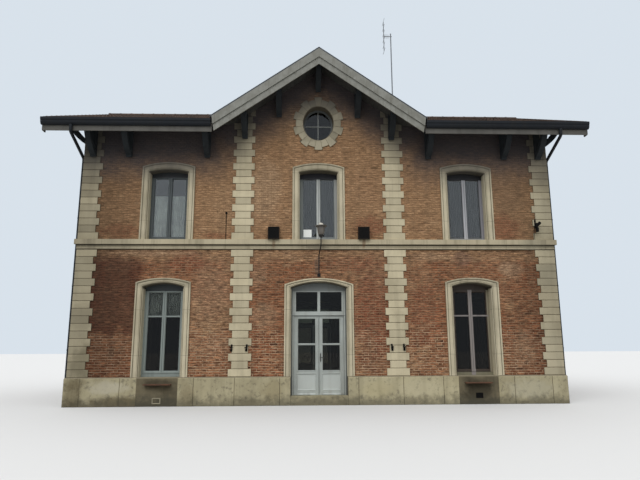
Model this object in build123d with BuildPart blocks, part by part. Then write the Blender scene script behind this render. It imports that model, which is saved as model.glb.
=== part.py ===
from build123d import *
import os
from collections import namedtuple
from math import cos, pi, radians, sin, sqrt, tan

os.makedirs("parts", exist_ok=True)

# A two-storey station building of brick with dressed stone, in millimetres.
# The origin is on the ground at the middle of the plan. The front faces -Y.
# An opening or a stone lining has a flat bottom, two upright sides and a segmental arch.
Arch = namedtuple("Arch", "half bottom springing crown")

# Plan, from the middle to the brick faces
half_length = 6900.0
half_depth = 4000.0
wall_thickness = 450.0

# Heights above the ground
plinth_top = 775.0
string_course_bottom = 4345.0
string_course_top = 4635.0
ground_floor_top = 246.0
first_floor_top = 4100.0
first_floor_thickness = 300.0
attic_floor_top = 7350.0
attic_floor_thickness = 250.0

# Dressed stone, standing proud of the brick
plinth_proud = 70.0
plinth_weathering = 25.0
string_course_proud = 90.0
string_course_neck = 35.0
string_course_slab = 145.0
quoin_proud = 20.0
quoin_course = 210.0
corner_quoin_wide = 570.0
corner_quoin_narrow = 480.0
pier_quoin_wide = 635.0
pier_quoin_narrow = 455.0
pier_place = 2215.0
surround_proud = 30.0
fillet_proud = 15.0
fillet_width = 45.0
reveal_chamfer = 28.0

# Roof: both ridges are at one height and cross at the middle of the plan
ridge_height = 10185.0
main_pitch = 24.4
gable_pitch = 35.0
roof_thickness = 170.0
eaves_overhang = 820.0
verge_overhang = 900.0
gable_overhang = 910.0
gable_foot = 3070.0

# Clay tiles in courses, each stepped up at its lower edge; the heights are upright ones
tile_gauge = 330.0
tile_lip = 42.0
tile_tail = 16.0
tile_overhang = 45.0

# Windows
ground_window_place = 4420.0
upper_window_place = 4415.0
end_window_place = 2000.0
ground_opening = Arch(565.0, plinth_top, 3268.0, 3370.0)
ground_lining = Arch(775.0, plinth_top, 3400.0, 3523.0)
upper_opening = Arch(560.0, string_course_top, 6670.0, 6740.0)
upper_lining = Arch(770.0, string_course_top, 6835.0, 6965.0)
window_setback = 250.0
window_frame_depth = 70.0
window_stile = 105.0
window_mullion = 110.0
ground_glass_low = 930.0
ground_glass_high = 3130.0
upper_glass_low = 4760.0
upper_glass_high = 6540.0
glass_thickness = 6.0

# Oval window in each gable
oculus_height = 8235.0
oculus_half_width = 455.0
oculus_half_height = 540.0
oculus_short_stone = 225.0
oculus_long_stone = 305.0
oculus_stones = 20
oculus_frame_width = 60.0

# Doorway
door_opening = Arch(795.0, plinth_top, 3237.0, 3396.0)
door_lining = Arch(985.0, plinth_top, 3335.0, 3514.0)
door_setback = 230.0
door_frame_depth = 90.0
door_jamb = 75.0
transom_low = 2464.0
fanlight_low = 2579.0
fanlight_high = 3141.0
fanlight_mullion = 80.0
fanlight_stile = 135.0
leaf_thickness = 50.0
leaf_gap = 6.0
meeting_gap = 10.0
leaf_meeting_stile = 95.0
leaf_hinge_stile = 114.0
leaf_glass_low = 924.0
leaf_glass_high = 2379.0
leaf_bar_height = 1651.0
leaf_bar_width = 42.0
leaf_panel_low = 400.0
leaf_panel_high = 830.0
leaf_panel_recess = 14.0
drip_height = 55.0
drip_proud = 28.0
handle_height = 1280.0
handle_plate_width = 44.0
handle_plate_height = 230.0
handle_plate_thickness = 5.0
handle_stand_off = 48.0
handle_lever = 120.0
handle_radius = 9.0

# Hinges, on the room side of the frame and the leaves
hinge_heights = (420.0, 1330.0, 2240.0)
hinge_knuckle_length = 50.0
hinge_knuckle_radius = 11.0
hinge_pin_radius = 6.0
hinge_clearance = 0.3
hinge_plate_width = 40.0
hinge_plate_thickness = 4.0
hinge_stand_off = 12.0

# Eaves, verges and gable boards
fascia_below_tiles = 24.0
fascia_height = 365.0
board_thickness = 30.0
bargeboard_drop = 480.0
upper_board_drop = 262.0
bargeboard_foot_rake = 70.0
verge_board_drop = 300.0
gutter_width = 120.0
gutter_height = 205.0
gutter_below_fascia_top = 5.0
gutter_wall = 6.0
gutter_end_gap = 25.0
gutter_end_reach = 20.0
ridge_tile_half = 125.0
ridge_tile_edge = 50.0
ridge_tile_rise = 70.0
gable_ridge_tile_rise = 60.0
flashing_width = 90.0
flashing_height = 45.0

# Timber brackets under the eaves, verges and gables
bracket_width = 160.0
bracket_timber = 110.0
bracket_reach = 780.0
wing_bracket_height = 1085.0
wing_bracket_places = (3300.0, 5600.0, 6640.0)
gable_bracket_height = 745.0
gable_bracket_places = (0.0, 1190.0, 2200.0)
end_bracket_places = (0.0, 1900.0, 3680.0)

# Fittings
downpipe_radius = 45.0
downpipe_outlet = 7000.0
downpipe_below_fascia = 45.0
downpipe_bend_drop = 460.0
downpipe_setback = 250.0
downpipe_stand_off = 65.0
downpipe_foot = 260.0
clip_heights = (1500.0, 3300.0, 5300.0)
clip_height = 40.0
clip_thickness = 5.0
wall_box_width = 330.0
wall_box_height = 360.0
wall_box_depth = 170.0
wall_box_place = 1310.0
lamp_foot_height = 3600.0
lamp_arm_radius = 16.0
lamp_arm_stand_off = 75.0
lamp_arm_bend_height = 4180.0
lamp_reach = 400.0
lamp_lean = 50.0
lamp_plate = 90.0
lamp_neck_height = 4630.0
lamp_bowl_height = 150.0
lamp_body_height = 175.0
lamp_brim_thickness = 14.0
lamp_cap_height = 85.0
lamp_neck_radius = 45.0
lamp_bowl_radius = 95.0
lamp_body_radius = 115.0
lamp_brim_radius = 165.0
lamp_cap_radius = 72.0
ledge_width = 740.0
ledge_height = 600.0
ledge_depth = 170.0
ledge_thickness = 30.0

# Aerial: a reflector of rods and a short row of directors on one boom
mast_place = 3000.0
mast_height = 3480.0
mast_radius = 22.0
aerial_boom_drop = 120.0
aerial_boom_length = 330.0
aerial_bar = 24.0
reflector_height = 1260.0
reflector_rods = 6
reflector_rod_length = 520.0
director_count = 4
director_height = 190.0
aerial_rod = 10.0

# Worked out from the values above
main_slope = tan(radians(main_pitch))
gable_slope = tan(radians(gable_pitch))
main_drop = roof_thickness / cos(radians(main_pitch))
gable_drop = roof_thickness / cos(radians(gable_pitch))
inner_length = 2 * (half_length - wall_thickness)
inner_depth = 2 * (half_depth - wall_thickness)
eaves_end = half_depth + eaves_overhang
verge_end = half_length + verge_overhang
gable_end = half_depth + gable_overhang
fascia_face = eaves_end + board_thickness
fascia_top = ridge_height - main_slope * eaves_end - fascia_below_tiles
fascia_bottom = fascia_top - fascia_height
gutter_top = fascia_top - gutter_below_fascia_top
gutter_bottom = gutter_top - gutter_height
whole_height = ridge_height + roof_thickness
main_tile_reach = eaves_end + tile_overhang
main_tile_run = verge_end + board_thickness - flashing_width
gable_tile_reach = gable_foot + tile_overhang
gable_tile_run = gable_end + 2 * board_thickness - flashing_width
level = (Align.CENTER, Align.CENTER, Align.MIN)

# Places on the walls: a piece is drawn with its wall's brick face on y = 0, facing -Y
front_wall = Location((0, -half_depth, 0))
rear_wall = Location((0, half_depth, 0), (0, 0, 180))
long_walls = (front_wall, rear_wall)


def on_long_walls(*across):
    """The same places along the front and the rear wall."""
    return [side * Location((x, 0, 0)) for side in long_walls for x in across]


def on_end_walls(*across):
    """The same places along the two end walls."""
    right_wall = Location((half_length, 0, 0), (0, 0, 90))
    left_wall = Location((-half_length, 0, 0), (0, 0, -90))
    return [side * Location((x, 0, 0)) for side in (left_wall, right_wall) for x in across]


long_ground_places = on_long_walls(-ground_window_place, ground_window_place)
long_upper_places = on_long_walls(-upper_window_place, 0, upper_window_place)
end_places = on_end_walls(-end_window_place, end_window_place)


def arched_face(arch, mode=Mode.ADD):
    """The outline of an arched opening, drawn into the sketch at hand."""
    with BuildLine() as outline:
        Polyline(
            (-arch.half, arch.springing),
            (-arch.half, arch.bottom),
            (arch.half, arch.bottom),
            (arch.half, arch.springing),
        )
        ThreePointArc((arch.half, arch.springing), (0, arch.crown), (-arch.half, arch.springing))
    make_face(outline.edges(), mode=mode)


def inset(arch, width):
    """The arched outline that runs at one width inside another, with the same arc centre."""
    rise = arch.crown - arch.springing
    radius = (arch.half**2 + rise**2) / (2 * rise)
    centre = arch.crown - radius
    half = arch.half - width
    springing = centre + sqrt((radius - width) ** 2 - half**2)
    return Arch(half, arch.bottom, springing, arch.crown - width)


def upright_box(width, low, high, depth, front, x=0.0, mode=Mode.ADD):
    """A box on the wall at hand: its front face at y = front, between two heights."""
    with Locations((x, front + depth / 2, low)):
        Box(width, depth, high - low, align=level, mode=mode)


def arched_cut(arch):
    """A block of an opening's outline that runs right through a wall."""
    with BuildPart() as block:
        with BuildSketch(Plane.XZ.offset(wall_thickness)):
            arched_face(arch)
        extrude(amount=-3 * wall_thickness)
    return block.part


def stone_lining(lining, opening):
    """A dressed stone surround: jambs and arch through the whole wall, a raised
    fillet round its outside and a chamfer round the opening."""
    with BuildPart() as stone:
        with BuildSketch(Plane.XZ.offset(surround_proud)):
            arched_face(lining)
            arched_face(opening, mode=Mode.SUBTRACT)
        extrude(amount=-(surround_proud + wall_thickness))
        with BuildSketch(Plane.XZ.offset(surround_proud)):
            arched_face(lining)
            arched_face(inset(lining, fillet_width), mode=Mode.SUBTRACT)
        extrude(amount=fillet_proud)
        with BuildSketch(Plane.XZ.offset(surround_proud)):
            arched_face(inset(opening, -reveal_chamfer))
        with BuildSketch(Plane.XZ.offset(surround_proud - reveal_chamfer)):
            arched_face(opening)
        loft(ruled=True, mode=Mode.SUBTRACT)
    return stone.part


def window_frame(opening, glass_low, glass_high):
    """A pair of fixed casements in one frame, with a wide stile where they meet."""
    pane = opening.half - window_stile - window_mullion / 2
    with BuildPart() as frame:
        with BuildSketch(Plane.XZ.offset(-window_setback)):
            arched_face(opening)
            for side in (-1, 1):
                with Locations((side * (window_mullion + pane) / 2, (glass_low + glass_high) / 2)):
                    Rectangle(pane, glass_high - glass_low, mode=Mode.SUBTRACT)
        extrude(amount=-window_frame_depth)
    return frame.part


def window_panes(opening, glass_low, glass_high):
    """The two sheets of glass of one window, held in its frame."""
    pane = opening.half - window_stile - window_mullion / 2
    front = window_setback + (window_frame_depth - glass_thickness) / 2
    with BuildPart() as panes:
        for side in (-1, 1):
            middle = side * (window_mullion + pane) / 2
            upright_box(pane, glass_low, glass_high, glass_thickness, front, middle)
    return panes.part


def roof_prism(pitch_slope, apex, half_span, half_run, plane):
    """All the space below a double-pitched surface whose ridge is square to a plane."""
    eaves = apex - pitch_slope * half_span
    with BuildPart() as prism:
        with BuildSketch(plane):
            with BuildLine():
                Polyline(
                    (-half_span, 0), (half_span, 0), (half_span, eaves),
                    (0, apex), (-half_span, eaves),
                    close=True,
                )
            make_face()
        extrude(amount=half_run, both=True)
    return prism.part


# The spaces below the roof: walls, quoins and brackets are cut to their undersides
gable_reach = ridge_height / gable_slope * 0.9
main_reach = gable_end + gutter_width
main_run = verge_end + gutter_width
below_main = roof_prism(main_slope, ridge_height - main_drop, main_reach, main_run, Plane.YZ)
below_gable = roof_prism(gable_slope, ridge_height - gable_drop, gable_reach, main_reach, Plane.XZ)
main_mass = roof_prism(main_slope, ridge_height, main_reach, main_run, Plane.YZ)
gable_mass = roof_prism(gable_slope, ridge_height, gable_reach, main_reach, Plane.XZ)
roof_space = below_main + below_gable


def main_underside(distance):
    """Height of the main roof's underside at a distance from its ridge."""
    return ridge_height - main_drop - main_slope * distance


def gable_underside(distance):
    """Height of the cross roof's underside at a distance from its ridge."""
    return ridge_height - gable_drop - gable_slope * distance


# Plinth: a low wall of blocks with a weathered top edge, all round but for the doorways
def plinth_section(half_span):
    """Section through the plinth, from face to face of the building."""
    face = half_span + plinth_proud
    with BuildLine() as outline:
        Polyline(
            (-face, 0), (face, 0), (face, plinth_top - plinth_weathering),
            (face - plinth_weathering, plinth_top), (plinth_weathering - face, plinth_top),
            (-face, plinth_top - plinth_weathering),
            close=True,
        )
    make_face(outline.edges())


def string_course_section(half_span):
    """Section through the string course: a square-edged slab on a hollow moulding."""
    neck = half_span + string_course_neck
    face = half_span + string_course_proud
    slab_bottom = string_course_top - string_course_slab
    step = 12.0
    hollow = face - step - neck
    with BuildLine() as outline:
        Polyline(
            (0, string_course_bottom), (neck, string_course_bottom), (neck, slab_bottom - hollow)
        )
        RadiusArc((neck, slab_bottom - hollow), (neck + hollow, slab_bottom), hollow)
        Polyline(
            (neck + hollow, slab_bottom), (face, slab_bottom),
            (face, string_course_top), (0, string_course_top),
        )
        mirror(about=Plane.YZ)
    make_face(outline.edges())


def ring_course(section):
    """A course of stone round the whole building, mitred at its corners, open inside."""
    with BuildPart() as ring:
        with BuildSketch(Plane.YZ):
            section(half_depth)
        extrude(amount=verge_end, both=True)
        with BuildSketch(Plane.XZ):
            section(half_length)
        extrude(amount=eaves_end, both=True, mode=Mode.INTERSECT)
        Box(inner_length, inner_depth, 2 * whole_height, mode=Mode.SUBTRACT)
    return ring.part


def keep_ends(mode):
    """Keeps or removes what lies between the inner faces of the two long walls."""
    Box(2 * verge_end, inner_depth, 2 * whole_height, mode=mode)


with BuildPart() as long_plinths:
    add(ring_course(plinth_section))
    keep_ends(Mode.SUBTRACT)
    Box(2 * door_opening.half, 2 * eaves_end, 2 * plinth_top, mode=Mode.SUBTRACT)

with BuildPart() as end_plinths:
    add(ring_course(plinth_section))
    keep_ends(Mode.INTERSECT)

with BuildPart() as door_thresholds:
    with Locations(*long_walls):
        upright_box(
            2 * door_opening.half, 0, ground_floor_top, plinth_proud + wall_thickness, -plinth_proud
        )

with BuildPart() as string_courses:
    add(ring_course(string_course_section))
    keep_ends(Mode.SUBTRACT)

with BuildPart() as end_string_courses:
    add(ring_course(string_course_section))
    keep_ends(Mode.INTERSECT)

# Floors, between the inner faces of the walls
with BuildPart() as ground_floor:
    Box(inner_length, inner_depth, ground_floor_top, align=level)

with BuildPart() as first_floor:
    with Locations((0, 0, first_floor_top - first_floor_thickness)):
        Box(inner_length, inner_depth, first_floor_thickness, align=level)

with BuildPart() as attic_floor:
    with Locations((0, 0, attic_floor_top - attic_floor_thickness)):
        Box(inner_length, inner_depth, attic_floor_thickness, align=level)

# Brick walls: the long walls run from end to end and the end walls fit between them
wing_length = half_length - door_lining.half
wing_middle = (half_length + door_lining.half) / 2

with BuildPart() as long_ground_walls:
    with Locations(*on_long_walls(-wing_middle, wing_middle)):
        upright_box(wing_length, plinth_top, string_course_bottom, wall_thickness, 0)
    with Locations(*long_ground_places):
        add(arched_cut(ground_lining), mode=Mode.SUBTRACT)

with BuildPart() as door_head_walls:
    with Locations(*long_walls):
        upright_box(2 * door_lining.half, plinth_top, string_course_bottom, wall_thickness, 0)
    with Locations(*long_walls):
        add(arched_cut(door_lining), mode=Mode.SUBTRACT)

with BuildPart() as end_ground_walls:
    with Locations(*on_end_walls(0)):
        upright_box(inner_depth, plinth_top, string_course_bottom, wall_thickness, 0)
    with Locations(*end_places):
        add(arched_cut(ground_lining), mode=Mode.SUBTRACT)

with BuildPart() as oculus_cut:
    with BuildSketch(Plane.XZ.offset(wall_thickness)):
        with Locations((0, oculus_height)):
            Ellipse(oculus_half_width + oculus_short_stone, oculus_half_height + oculus_short_stone)
    extrude(amount=-3 * wall_thickness)


def upper_wall(side):
    """One long wall of the upper storey, from the string course to the attic floor."""
    with BuildPart() as brickwork:
        with Locations(side):
            upright_box(2 * half_length, string_course_top, attic_floor_top, wall_thickness, 0)
        with Locations(*[side * Location((x, 0, 0)) for x in (-upper_window_place, 0, upper_window_place)]):
            add(arched_cut(upper_lining), mode=Mode.SUBTRACT)
    return brickwork


def gable_wall(side):
    """The wall above, up to the eaves and into the gable, round its oval window."""
    with BuildPart() as brickwork:
        with Locations(side):
            upright_box(2 * half_length, attic_floor_top, whole_height, wall_thickness, 0)
        with Locations(side):
            add(oculus_cut.part, mode=Mode.SUBTRACT)
        add(roof_space, mode=Mode.INTERSECT)
    return brickwork


front_upper_wall = upper_wall(front_wall)
rear_upper_wall = upper_wall(rear_wall)
front_gable_wall = gable_wall(front_wall)
rear_gable_wall = gable_wall(rear_wall)

with BuildPart() as end_upper_walls:
    with Locations(*on_end_walls(0)):
        upright_box(inner_depth, string_course_top, attic_floor_top, wall_thickness, 0)
    with Locations(*end_places):
        add(arched_cut(upper_lining), mode=Mode.SUBTRACT)

with BuildPart() as end_gable_walls:
    with Locations(*on_end_walls(0)):
        upright_box(inner_depth, attic_floor_top, whole_height, wall_thickness, 0)
    add(roof_space, mode=Mode.INTERSECT)


# Quoins: toothed facings of stone blocks at the corners and on the two middle piers
def toothed_face(low, high, left, right):
    """A column of courses, drawn into the sketch at hand. Left and right each hold the
    side's edge in a wide course and its edge in a narrow one."""
    count = round((high - low) / quoin_course)
    step = (high - low) / count
    sides = []
    for edge in (left, right):
        points = [(edge[0], low)]
        for number in range(count):
            for end in (number, number + 1):
                point = (edge[number % 2], low + end * step)
                if point != points[-1]:
                    points.append(point)
        sides.append(points)
    with BuildLine() as outline:
        Polyline(*sides[1], *reversed(sides[0]), close=True)
    make_face(outline.edges())


pier_top = gable_underside(pier_place - pier_quoin_wide / 2)
corner_top = main_underside(half_depth)
quoin_x = half_length + quoin_proud
quoin_y = half_depth + quoin_proud

with BuildPart() as corner_column:
    for low, high in ((plinth_top, string_course_bottom), (string_course_top, corner_top)):
        with BuildSketch(Plane.XZ.offset(half_depth)):
            toothed_face(
                low, high,
                (quoin_x, quoin_x),
                (quoin_x - corner_quoin_wide, quoin_x - corner_quoin_narrow),
            )
        extrude(amount=quoin_proud)
        with BuildSketch(Plane.YZ.offset(half_length)):
            toothed_face(
                low, high,
                (-quoin_y, -quoin_y),
                (corner_quoin_narrow - quoin_y, corner_quoin_wide - quoin_y),
            )
        extrude(amount=quoin_proud)
    add(roof_space, mode=Mode.INTERSECT)

with BuildPart() as corner_quoins:
    add(corner_column.part)
    mirror(about=Plane.YZ)
    mirror(about=Plane.XZ)

with BuildPart() as pier_column:
    for low, high in ((plinth_top, string_course_bottom), (string_course_top, pier_top)):
        with BuildSketch(Plane.XZ.offset(half_depth)):
            toothed_face(
                low, high,
                (pier_place - pier_quoin_wide / 2, pier_place - pier_quoin_narrow / 2),
                (pier_place + pier_quoin_wide / 2, pier_place + pier_quoin_narrow / 2),
            )
        extrude(amount=quoin_proud)
    add(roof_space, mode=Mode.INTERSECT)

with BuildPart() as pier_quoins:
    add(pier_column.part)
    mirror(about=Plane.YZ)
    mirror(about=Plane.XZ)

# Stone surrounds of the windows, the doorways and the oval windows
with BuildPart() as ground_window_surrounds:
    with Locations(*long_ground_places, *end_places):
        add(stone_lining(ground_lining, ground_opening))

with BuildPart() as upper_window_surrounds:
    with Locations(*long_upper_places, *end_places):
        add(stone_lining(upper_lining, upper_opening))

with BuildPart() as door_surrounds:
    with Locations(*long_walls):
        add(stone_lining(door_lining, door_opening))


def oval(extra, mode=Mode.ADD):
    """An oval that runs at one width outside the gable window's opening."""
    with Locations((0, oculus_height)):
        Ellipse(oculus_half_width + extra, oculus_half_height + extra, mode=mode)


with BuildPart() as oculus_stone:
    with BuildSketch(Plane.XZ.offset(surround_proud)):
        oval(oculus_short_stone)
        oval(0, mode=Mode.SUBTRACT)
    extrude(amount=-(surround_proud + wall_thickness))
    with BuildSketch(Plane.XZ.offset(surround_proud)) as long_stones:
        reach = 2 * (oculus_half_height + oculus_long_stone)
        half_angle = pi / oculus_stones
        for number in range(0, oculus_stones, 2):
            middle = pi / 2 + 2 * half_angle * number
            with BuildLine():
                Polyline(
                    (0, oculus_height),
                    (reach * cos(middle - half_angle), oculus_height + reach * sin(middle - half_angle)),
                    (reach * cos(middle + half_angle), oculus_height + reach * sin(middle + half_angle)),
                    close=True,
                )
            make_face()
        oval(oculus_long_stone, mode=Mode.INTERSECT)
        oval(0, mode=Mode.SUBTRACT)
    extrude(amount=-surround_proud)

with BuildPart() as oculus_surrounds:
    with Locations(*long_walls):
        add(oculus_stone.part)

# Window frames and glass
with BuildPart() as oculus_frame:
    with BuildSketch(Plane.XZ.offset(-window_setback)):
        oval(0)
        oval(-oculus_frame_width, mode=Mode.SUBTRACT)
    extrude(amount=-window_frame_depth)

with BuildPart() as ground_window_frames:
    with Locations(*long_ground_places, *end_places):
        add(window_frame(ground_opening, ground_glass_low, ground_glass_high))

with BuildPart() as upper_window_frames:
    with Locations(*long_upper_places, *end_places):
        add(window_frame(upper_opening, upper_glass_low, upper_glass_high))
    with Locations(*long_walls):
        add(oculus_frame.part)

# Doorways: a frame with a fanlight, and two leaves that open into the building
leaf_low = ground_floor_top + leaf_gap
leaf_high = transom_low - leaf_gap
leaf_outer = door_opening.half - door_jamb - leaf_gap
leaf_inner = meeting_gap / 2
leaf_back = door_setback + door_frame_depth
leaf_front = leaf_back - leaf_thickness
glass_inner = leaf_inner + leaf_meeting_stile
glass_outer = leaf_outer - leaf_hinge_stile
hinge_place = door_opening.half - door_jamb - leaf_gap / 2
hinge_depth = leaf_back + hinge_stand_off
leaf_lights = (
    (leaf_glass_low, leaf_bar_height - leaf_bar_width / 2),
    (leaf_bar_height + leaf_bar_width / 2, leaf_glass_high),
)
fanlight_half = door_opening.half - fanlight_stile
fanlight_pane = fanlight_half - fanlight_mullion / 2


def hinge_plate(side, low, x):
    """A small plate that screws flat on the room side and carries a hinge knuckle."""
    middle = side * (x + hinge_plate_width / 2 * (1 if x >= hinge_place else -1))
    high = low + hinge_knuckle_length
    upright_box(hinge_plate_width, low, high, hinge_plate_thickness, leaf_back, middle)


def knuckle(side, low, radius, length, mode=Mode.ADD):
    """An upright round piece on the hinge's axis."""
    with Locations((side * hinge_place, hinge_depth, low)):
        Cylinder(radius, length, align=level, mode=mode)


def door_frame():
    """Jambs, transom and arched head, with the fixed half of each hinge and its pin."""
    whole = Arch(door_opening.half, ground_floor_top, door_opening.springing, door_opening.crown)
    with BuildPart() as frame:
        with BuildSketch(Plane.XZ.offset(-door_setback)):
            arched_face(whole)
            with Locations((0, (ground_floor_top + transom_low) / 2)):
                Rectangle(
                    2 * (door_opening.half - door_jamb), transom_low - ground_floor_top, mode=Mode.SUBTRACT
                )
            for side in (-1, 1):
                middle = side * (fanlight_mullion + fanlight_pane) / 2
                with Locations((middle, (fanlight_low + fanlight_high) / 2)):
                    Rectangle(fanlight_pane, fanlight_high - fanlight_low, mode=Mode.SUBTRACT)
        extrude(amount=-door_frame_depth)
        for side in (-1, 1):
            for low in hinge_heights:
                hinge_plate(side, low, hinge_place)
                knuckle(side, low, hinge_knuckle_radius, hinge_knuckle_length)
                knuckle(side, low, hinge_pin_radius, 2 * hinge_knuckle_length)
    return frame.part


def door_leaf(side):
    """A glazed leaf with a bar, a panel below the glass, a drip and the hinge barrels."""
    width = leaf_outer - leaf_inner
    middle = side * (leaf_outer + leaf_inner) / 2
    glass_middle = side * (glass_outer + glass_inner) / 2
    glass_width = glass_outer - glass_inner
    with BuildPart() as leaf:
        upright_box(width, leaf_low, leaf_high, leaf_thickness, leaf_front, middle)
        for low, high in leaf_lights:
            upright_box(glass_width, low, high, leaf_thickness, leaf_front, glass_middle, Mode.SUBTRACT)
        upright_box(
            glass_width, leaf_panel_low, leaf_panel_high, leaf_panel_recess, leaf_front, glass_middle,
            Mode.SUBTRACT,
        )
        with BuildSketch(Plane.YZ.offset(middle)):
            with BuildLine():
                Polyline(
                    (leaf_front, leaf_low), (leaf_front - drip_proud, leaf_low),
                    (leaf_front - drip_proud, leaf_low + drip_height / 4),
                    (leaf_front, leaf_low + drip_height),
                    close=True,
                )
            make_face()
        extrude(amount=glass_width / 2 + leaf_gap, both=True)
        for low in hinge_heights:
            barrel_low = low + hinge_knuckle_length + hinge_clearance
            hinge_plate(side, barrel_low, hinge_place - leaf_gap / 2)
            with Locations((side * (hinge_place - leaf_gap / 4), leaf_back, barrel_low)):
                Box(
                    leaf_gap / 2, hinge_stand_off, hinge_knuckle_length,
                    align=(Align.CENTER, Align.MIN, Align.MIN),
                )
            knuckle(side, barrel_low, hinge_knuckle_radius, hinge_knuckle_length)
            knuckle(
                side, barrel_low, hinge_pin_radius + hinge_clearance, hinge_knuckle_length, Mode.SUBTRACT
            )
    return leaf


def leaf_glass(side):
    """The two panes of one leaf."""
    glass_middle = side * (glass_outer + glass_inner) / 2
    front = leaf_front + (leaf_thickness - glass_thickness) / 2
    with BuildPart() as panes:
        for low, high in leaf_lights:
            upright_box(glass_outer - glass_inner, low, high, glass_thickness, front, glass_middle)
    return panes


def placed(piece, where):
    """The same piece at another place."""
    with BuildPart() as moved:
        with Locations(where):
            add(piece)
    return moved


with BuildPart() as door_frames:
    with Locations(*long_walls):
        add(door_frame())

left_door_leaf = placed(door_leaf(-1).part, front_wall)
right_door_leaf = placed(door_leaf(1).part, front_wall)
left_door_glass = placed(leaf_glass(-1).part, front_wall)
right_door_glass = placed(leaf_glass(1).part, front_wall)

with BuildPart() as rear_door_leaves:
    with Locations(rear_wall):
        add(door_leaf(-1).part)
    with Locations(rear_wall):
        add(door_leaf(1).part)

with BuildPart() as window_glass:
    with Locations(*long_ground_places, *end_places):
        add(window_panes(ground_opening, ground_glass_low, ground_glass_high))
    with Locations(*long_upper_places, *end_places):
        add(window_panes(upper_opening, upper_glass_low, upper_glass_high))
    with Locations(rear_wall):
        add(leaf_glass(-1).part)
        add(leaf_glass(1).part)

with BuildPart() as oval_glass:
    with BuildSketch(Plane.XZ.offset(-window_setback - (window_frame_depth - glass_thickness) / 2)):
        oval(-oculus_frame_width)
    extrude(amount=-glass_thickness)

with BuildPart() as fanlight_glass:
    with Locations(*long_walls):
        add(oval_glass.part)
        for side in (-1, 1):
            upright_box(
                fanlight_pane, fanlight_low, fanlight_high, glass_thickness,
                door_setback + (door_frame_depth - glass_thickness) / 2,
                side * (fanlight_mullion + fanlight_pane) / 2,
            )

# Lever handle on the meeting stile of the right leaf
handle_place = leaf_inner + leaf_meeting_stile / 3

with BuildPart() as front_handle:
    upright_box(
        handle_plate_width,
        handle_height - handle_plate_height / 2,
        handle_height + handle_plate_height / 2,
        handle_plate_thickness,
        leaf_front - handle_plate_thickness,
        handle_place,
    )
    with BuildSketch(Plane.XZ.offset(handle_plate_thickness - leaf_front)):
        with Locations((handle_place, handle_height)):
            Circle(handle_radius)
    extrude(amount=handle_stand_off)
    lever_y = leaf_front - handle_plate_thickness - handle_stand_off
    with BuildSketch(Plane.YZ.offset(handle_place - handle_radius)):
        with Locations((lever_y, handle_height)):
            Circle(handle_radius)
    extrude(amount=handle_lever)

door_handle = placed(front_handle.part, front_wall)


# Roofs: solid slabs of boarding and rafters under courses of tiles, meeting in four valleys
def roof_band(plane, half_span, slope, drop, run):
    """A double-pitched slab with upright ends, on one side of a plane."""
    with BuildPart() as band:
        with BuildSketch(plane):
            with BuildLine():
                Polyline(
                    (-half_span, ridge_height - slope * half_span), (0, ridge_height),
                    (half_span, ridge_height - slope * half_span),
                    (half_span, ridge_height - drop - slope * half_span), (0, ridge_height - drop),
                    (-half_span, ridge_height - drop - slope * half_span),
                    close=True,
                )
            make_face()
        extrude(amount=run)
    return band.part


def tile_courses(plane, slope, reach, run, both=False):
    """The tiles on both slopes of a roof, from one reach up to its ridge tiles, on one side
    of a plane or both. Each course falls from its lip to its tail, where the next one starts."""
    courses = round((reach - ridge_tile_half) * sqrt(1 + slope**2) / tile_gauge)
    gauge = (reach - ridge_tile_half) / courses
    steps = []
    for course in range(courses):
        low = reach - course * gauge
        high = low - gauge
        steps += [(low, ridge_height - slope * low + tile_lip), (high, ridge_height - slope * high + tile_tail)]
    with BuildPart() as layer:
        with BuildSketch(plane):
            with BuildLine():
                Polyline(
                    (reach, ridge_height - slope * reach), *steps,
                    (ridge_tile_half, ridge_height - slope * ridge_tile_half),
                    close=True,
                )
            make_face()
            mirror(about=Plane.YZ)
        extrude(amount=run, both=both)
    return layer.part


gable_courses = tile_courses(Plane.XZ, gable_slope, gable_tile_reach, gable_tile_run, both=True)
main_courses = tile_courses(Plane.YZ, main_slope, main_tile_reach, main_tile_run, both=True)


def main_roof(side):
    """Half of the main roof, from its verge to the valleys of the cross roof."""
    with BuildPart() as slab:
        add(roof_band(Plane.YZ, eaves_end, main_slope, main_drop, side * verge_end))
        add(tile_courses(Plane.YZ, main_slope, main_tile_reach, side * main_tile_run))
        add(gable_mass, mode=Mode.SUBTRACT)
        add(gable_courses, mode=Mode.SUBTRACT)
    return slab


def gable_roof(side):
    """Half of the cross roof: side is 1 for the front, -1 for the rear."""
    valley = (ridge_height - main_underside(eaves_end)) / gable_slope
    with BuildPart() as slab:
        add(roof_band(Plane.XZ, valley, gable_slope, gable_drop, side * gable_end))
        for right in (-1, 1):
            with Locations((right * (gable_foot + valley / 2), -side * (eaves_end + valley / 2), 0)):
                Box(valley, valley, 2 * whole_height, mode=Mode.SUBTRACT)
        add(tile_courses(Plane.XZ, gable_slope, gable_tile_reach, side * gable_tile_run))
        add(below_main, mode=Mode.SUBTRACT)
    return slab


main_roof_left = main_roof(-1)
main_roof_right = main_roof(1)
front_gable_roof = gable_roof(1)
rear_gable_roof = gable_roof(-1)


def ridge_cap(plane, slope, run, rise):
    """A run of round-backed ridge tiles, bedded on both slopes."""
    edge = ridge_height - slope * ridge_tile_half
    with BuildPart() as cap:
        with BuildSketch(plane):
            with BuildLine():
                Polyline(
                    (ridge_tile_half, edge + ridge_tile_edge), (ridge_tile_half, edge), (0, ridge_height),
                    (-ridge_tile_half, edge), (-ridge_tile_half, edge + ridge_tile_edge),
                )
                ThreePointArc(
                    (-ridge_tile_half, edge + ridge_tile_edge), (0, ridge_height + rise),
                    (ridge_tile_half, edge + ridge_tile_edge),
                )
            make_face()
        extrude(amount=run, both=True)
    return cap.part


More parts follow.
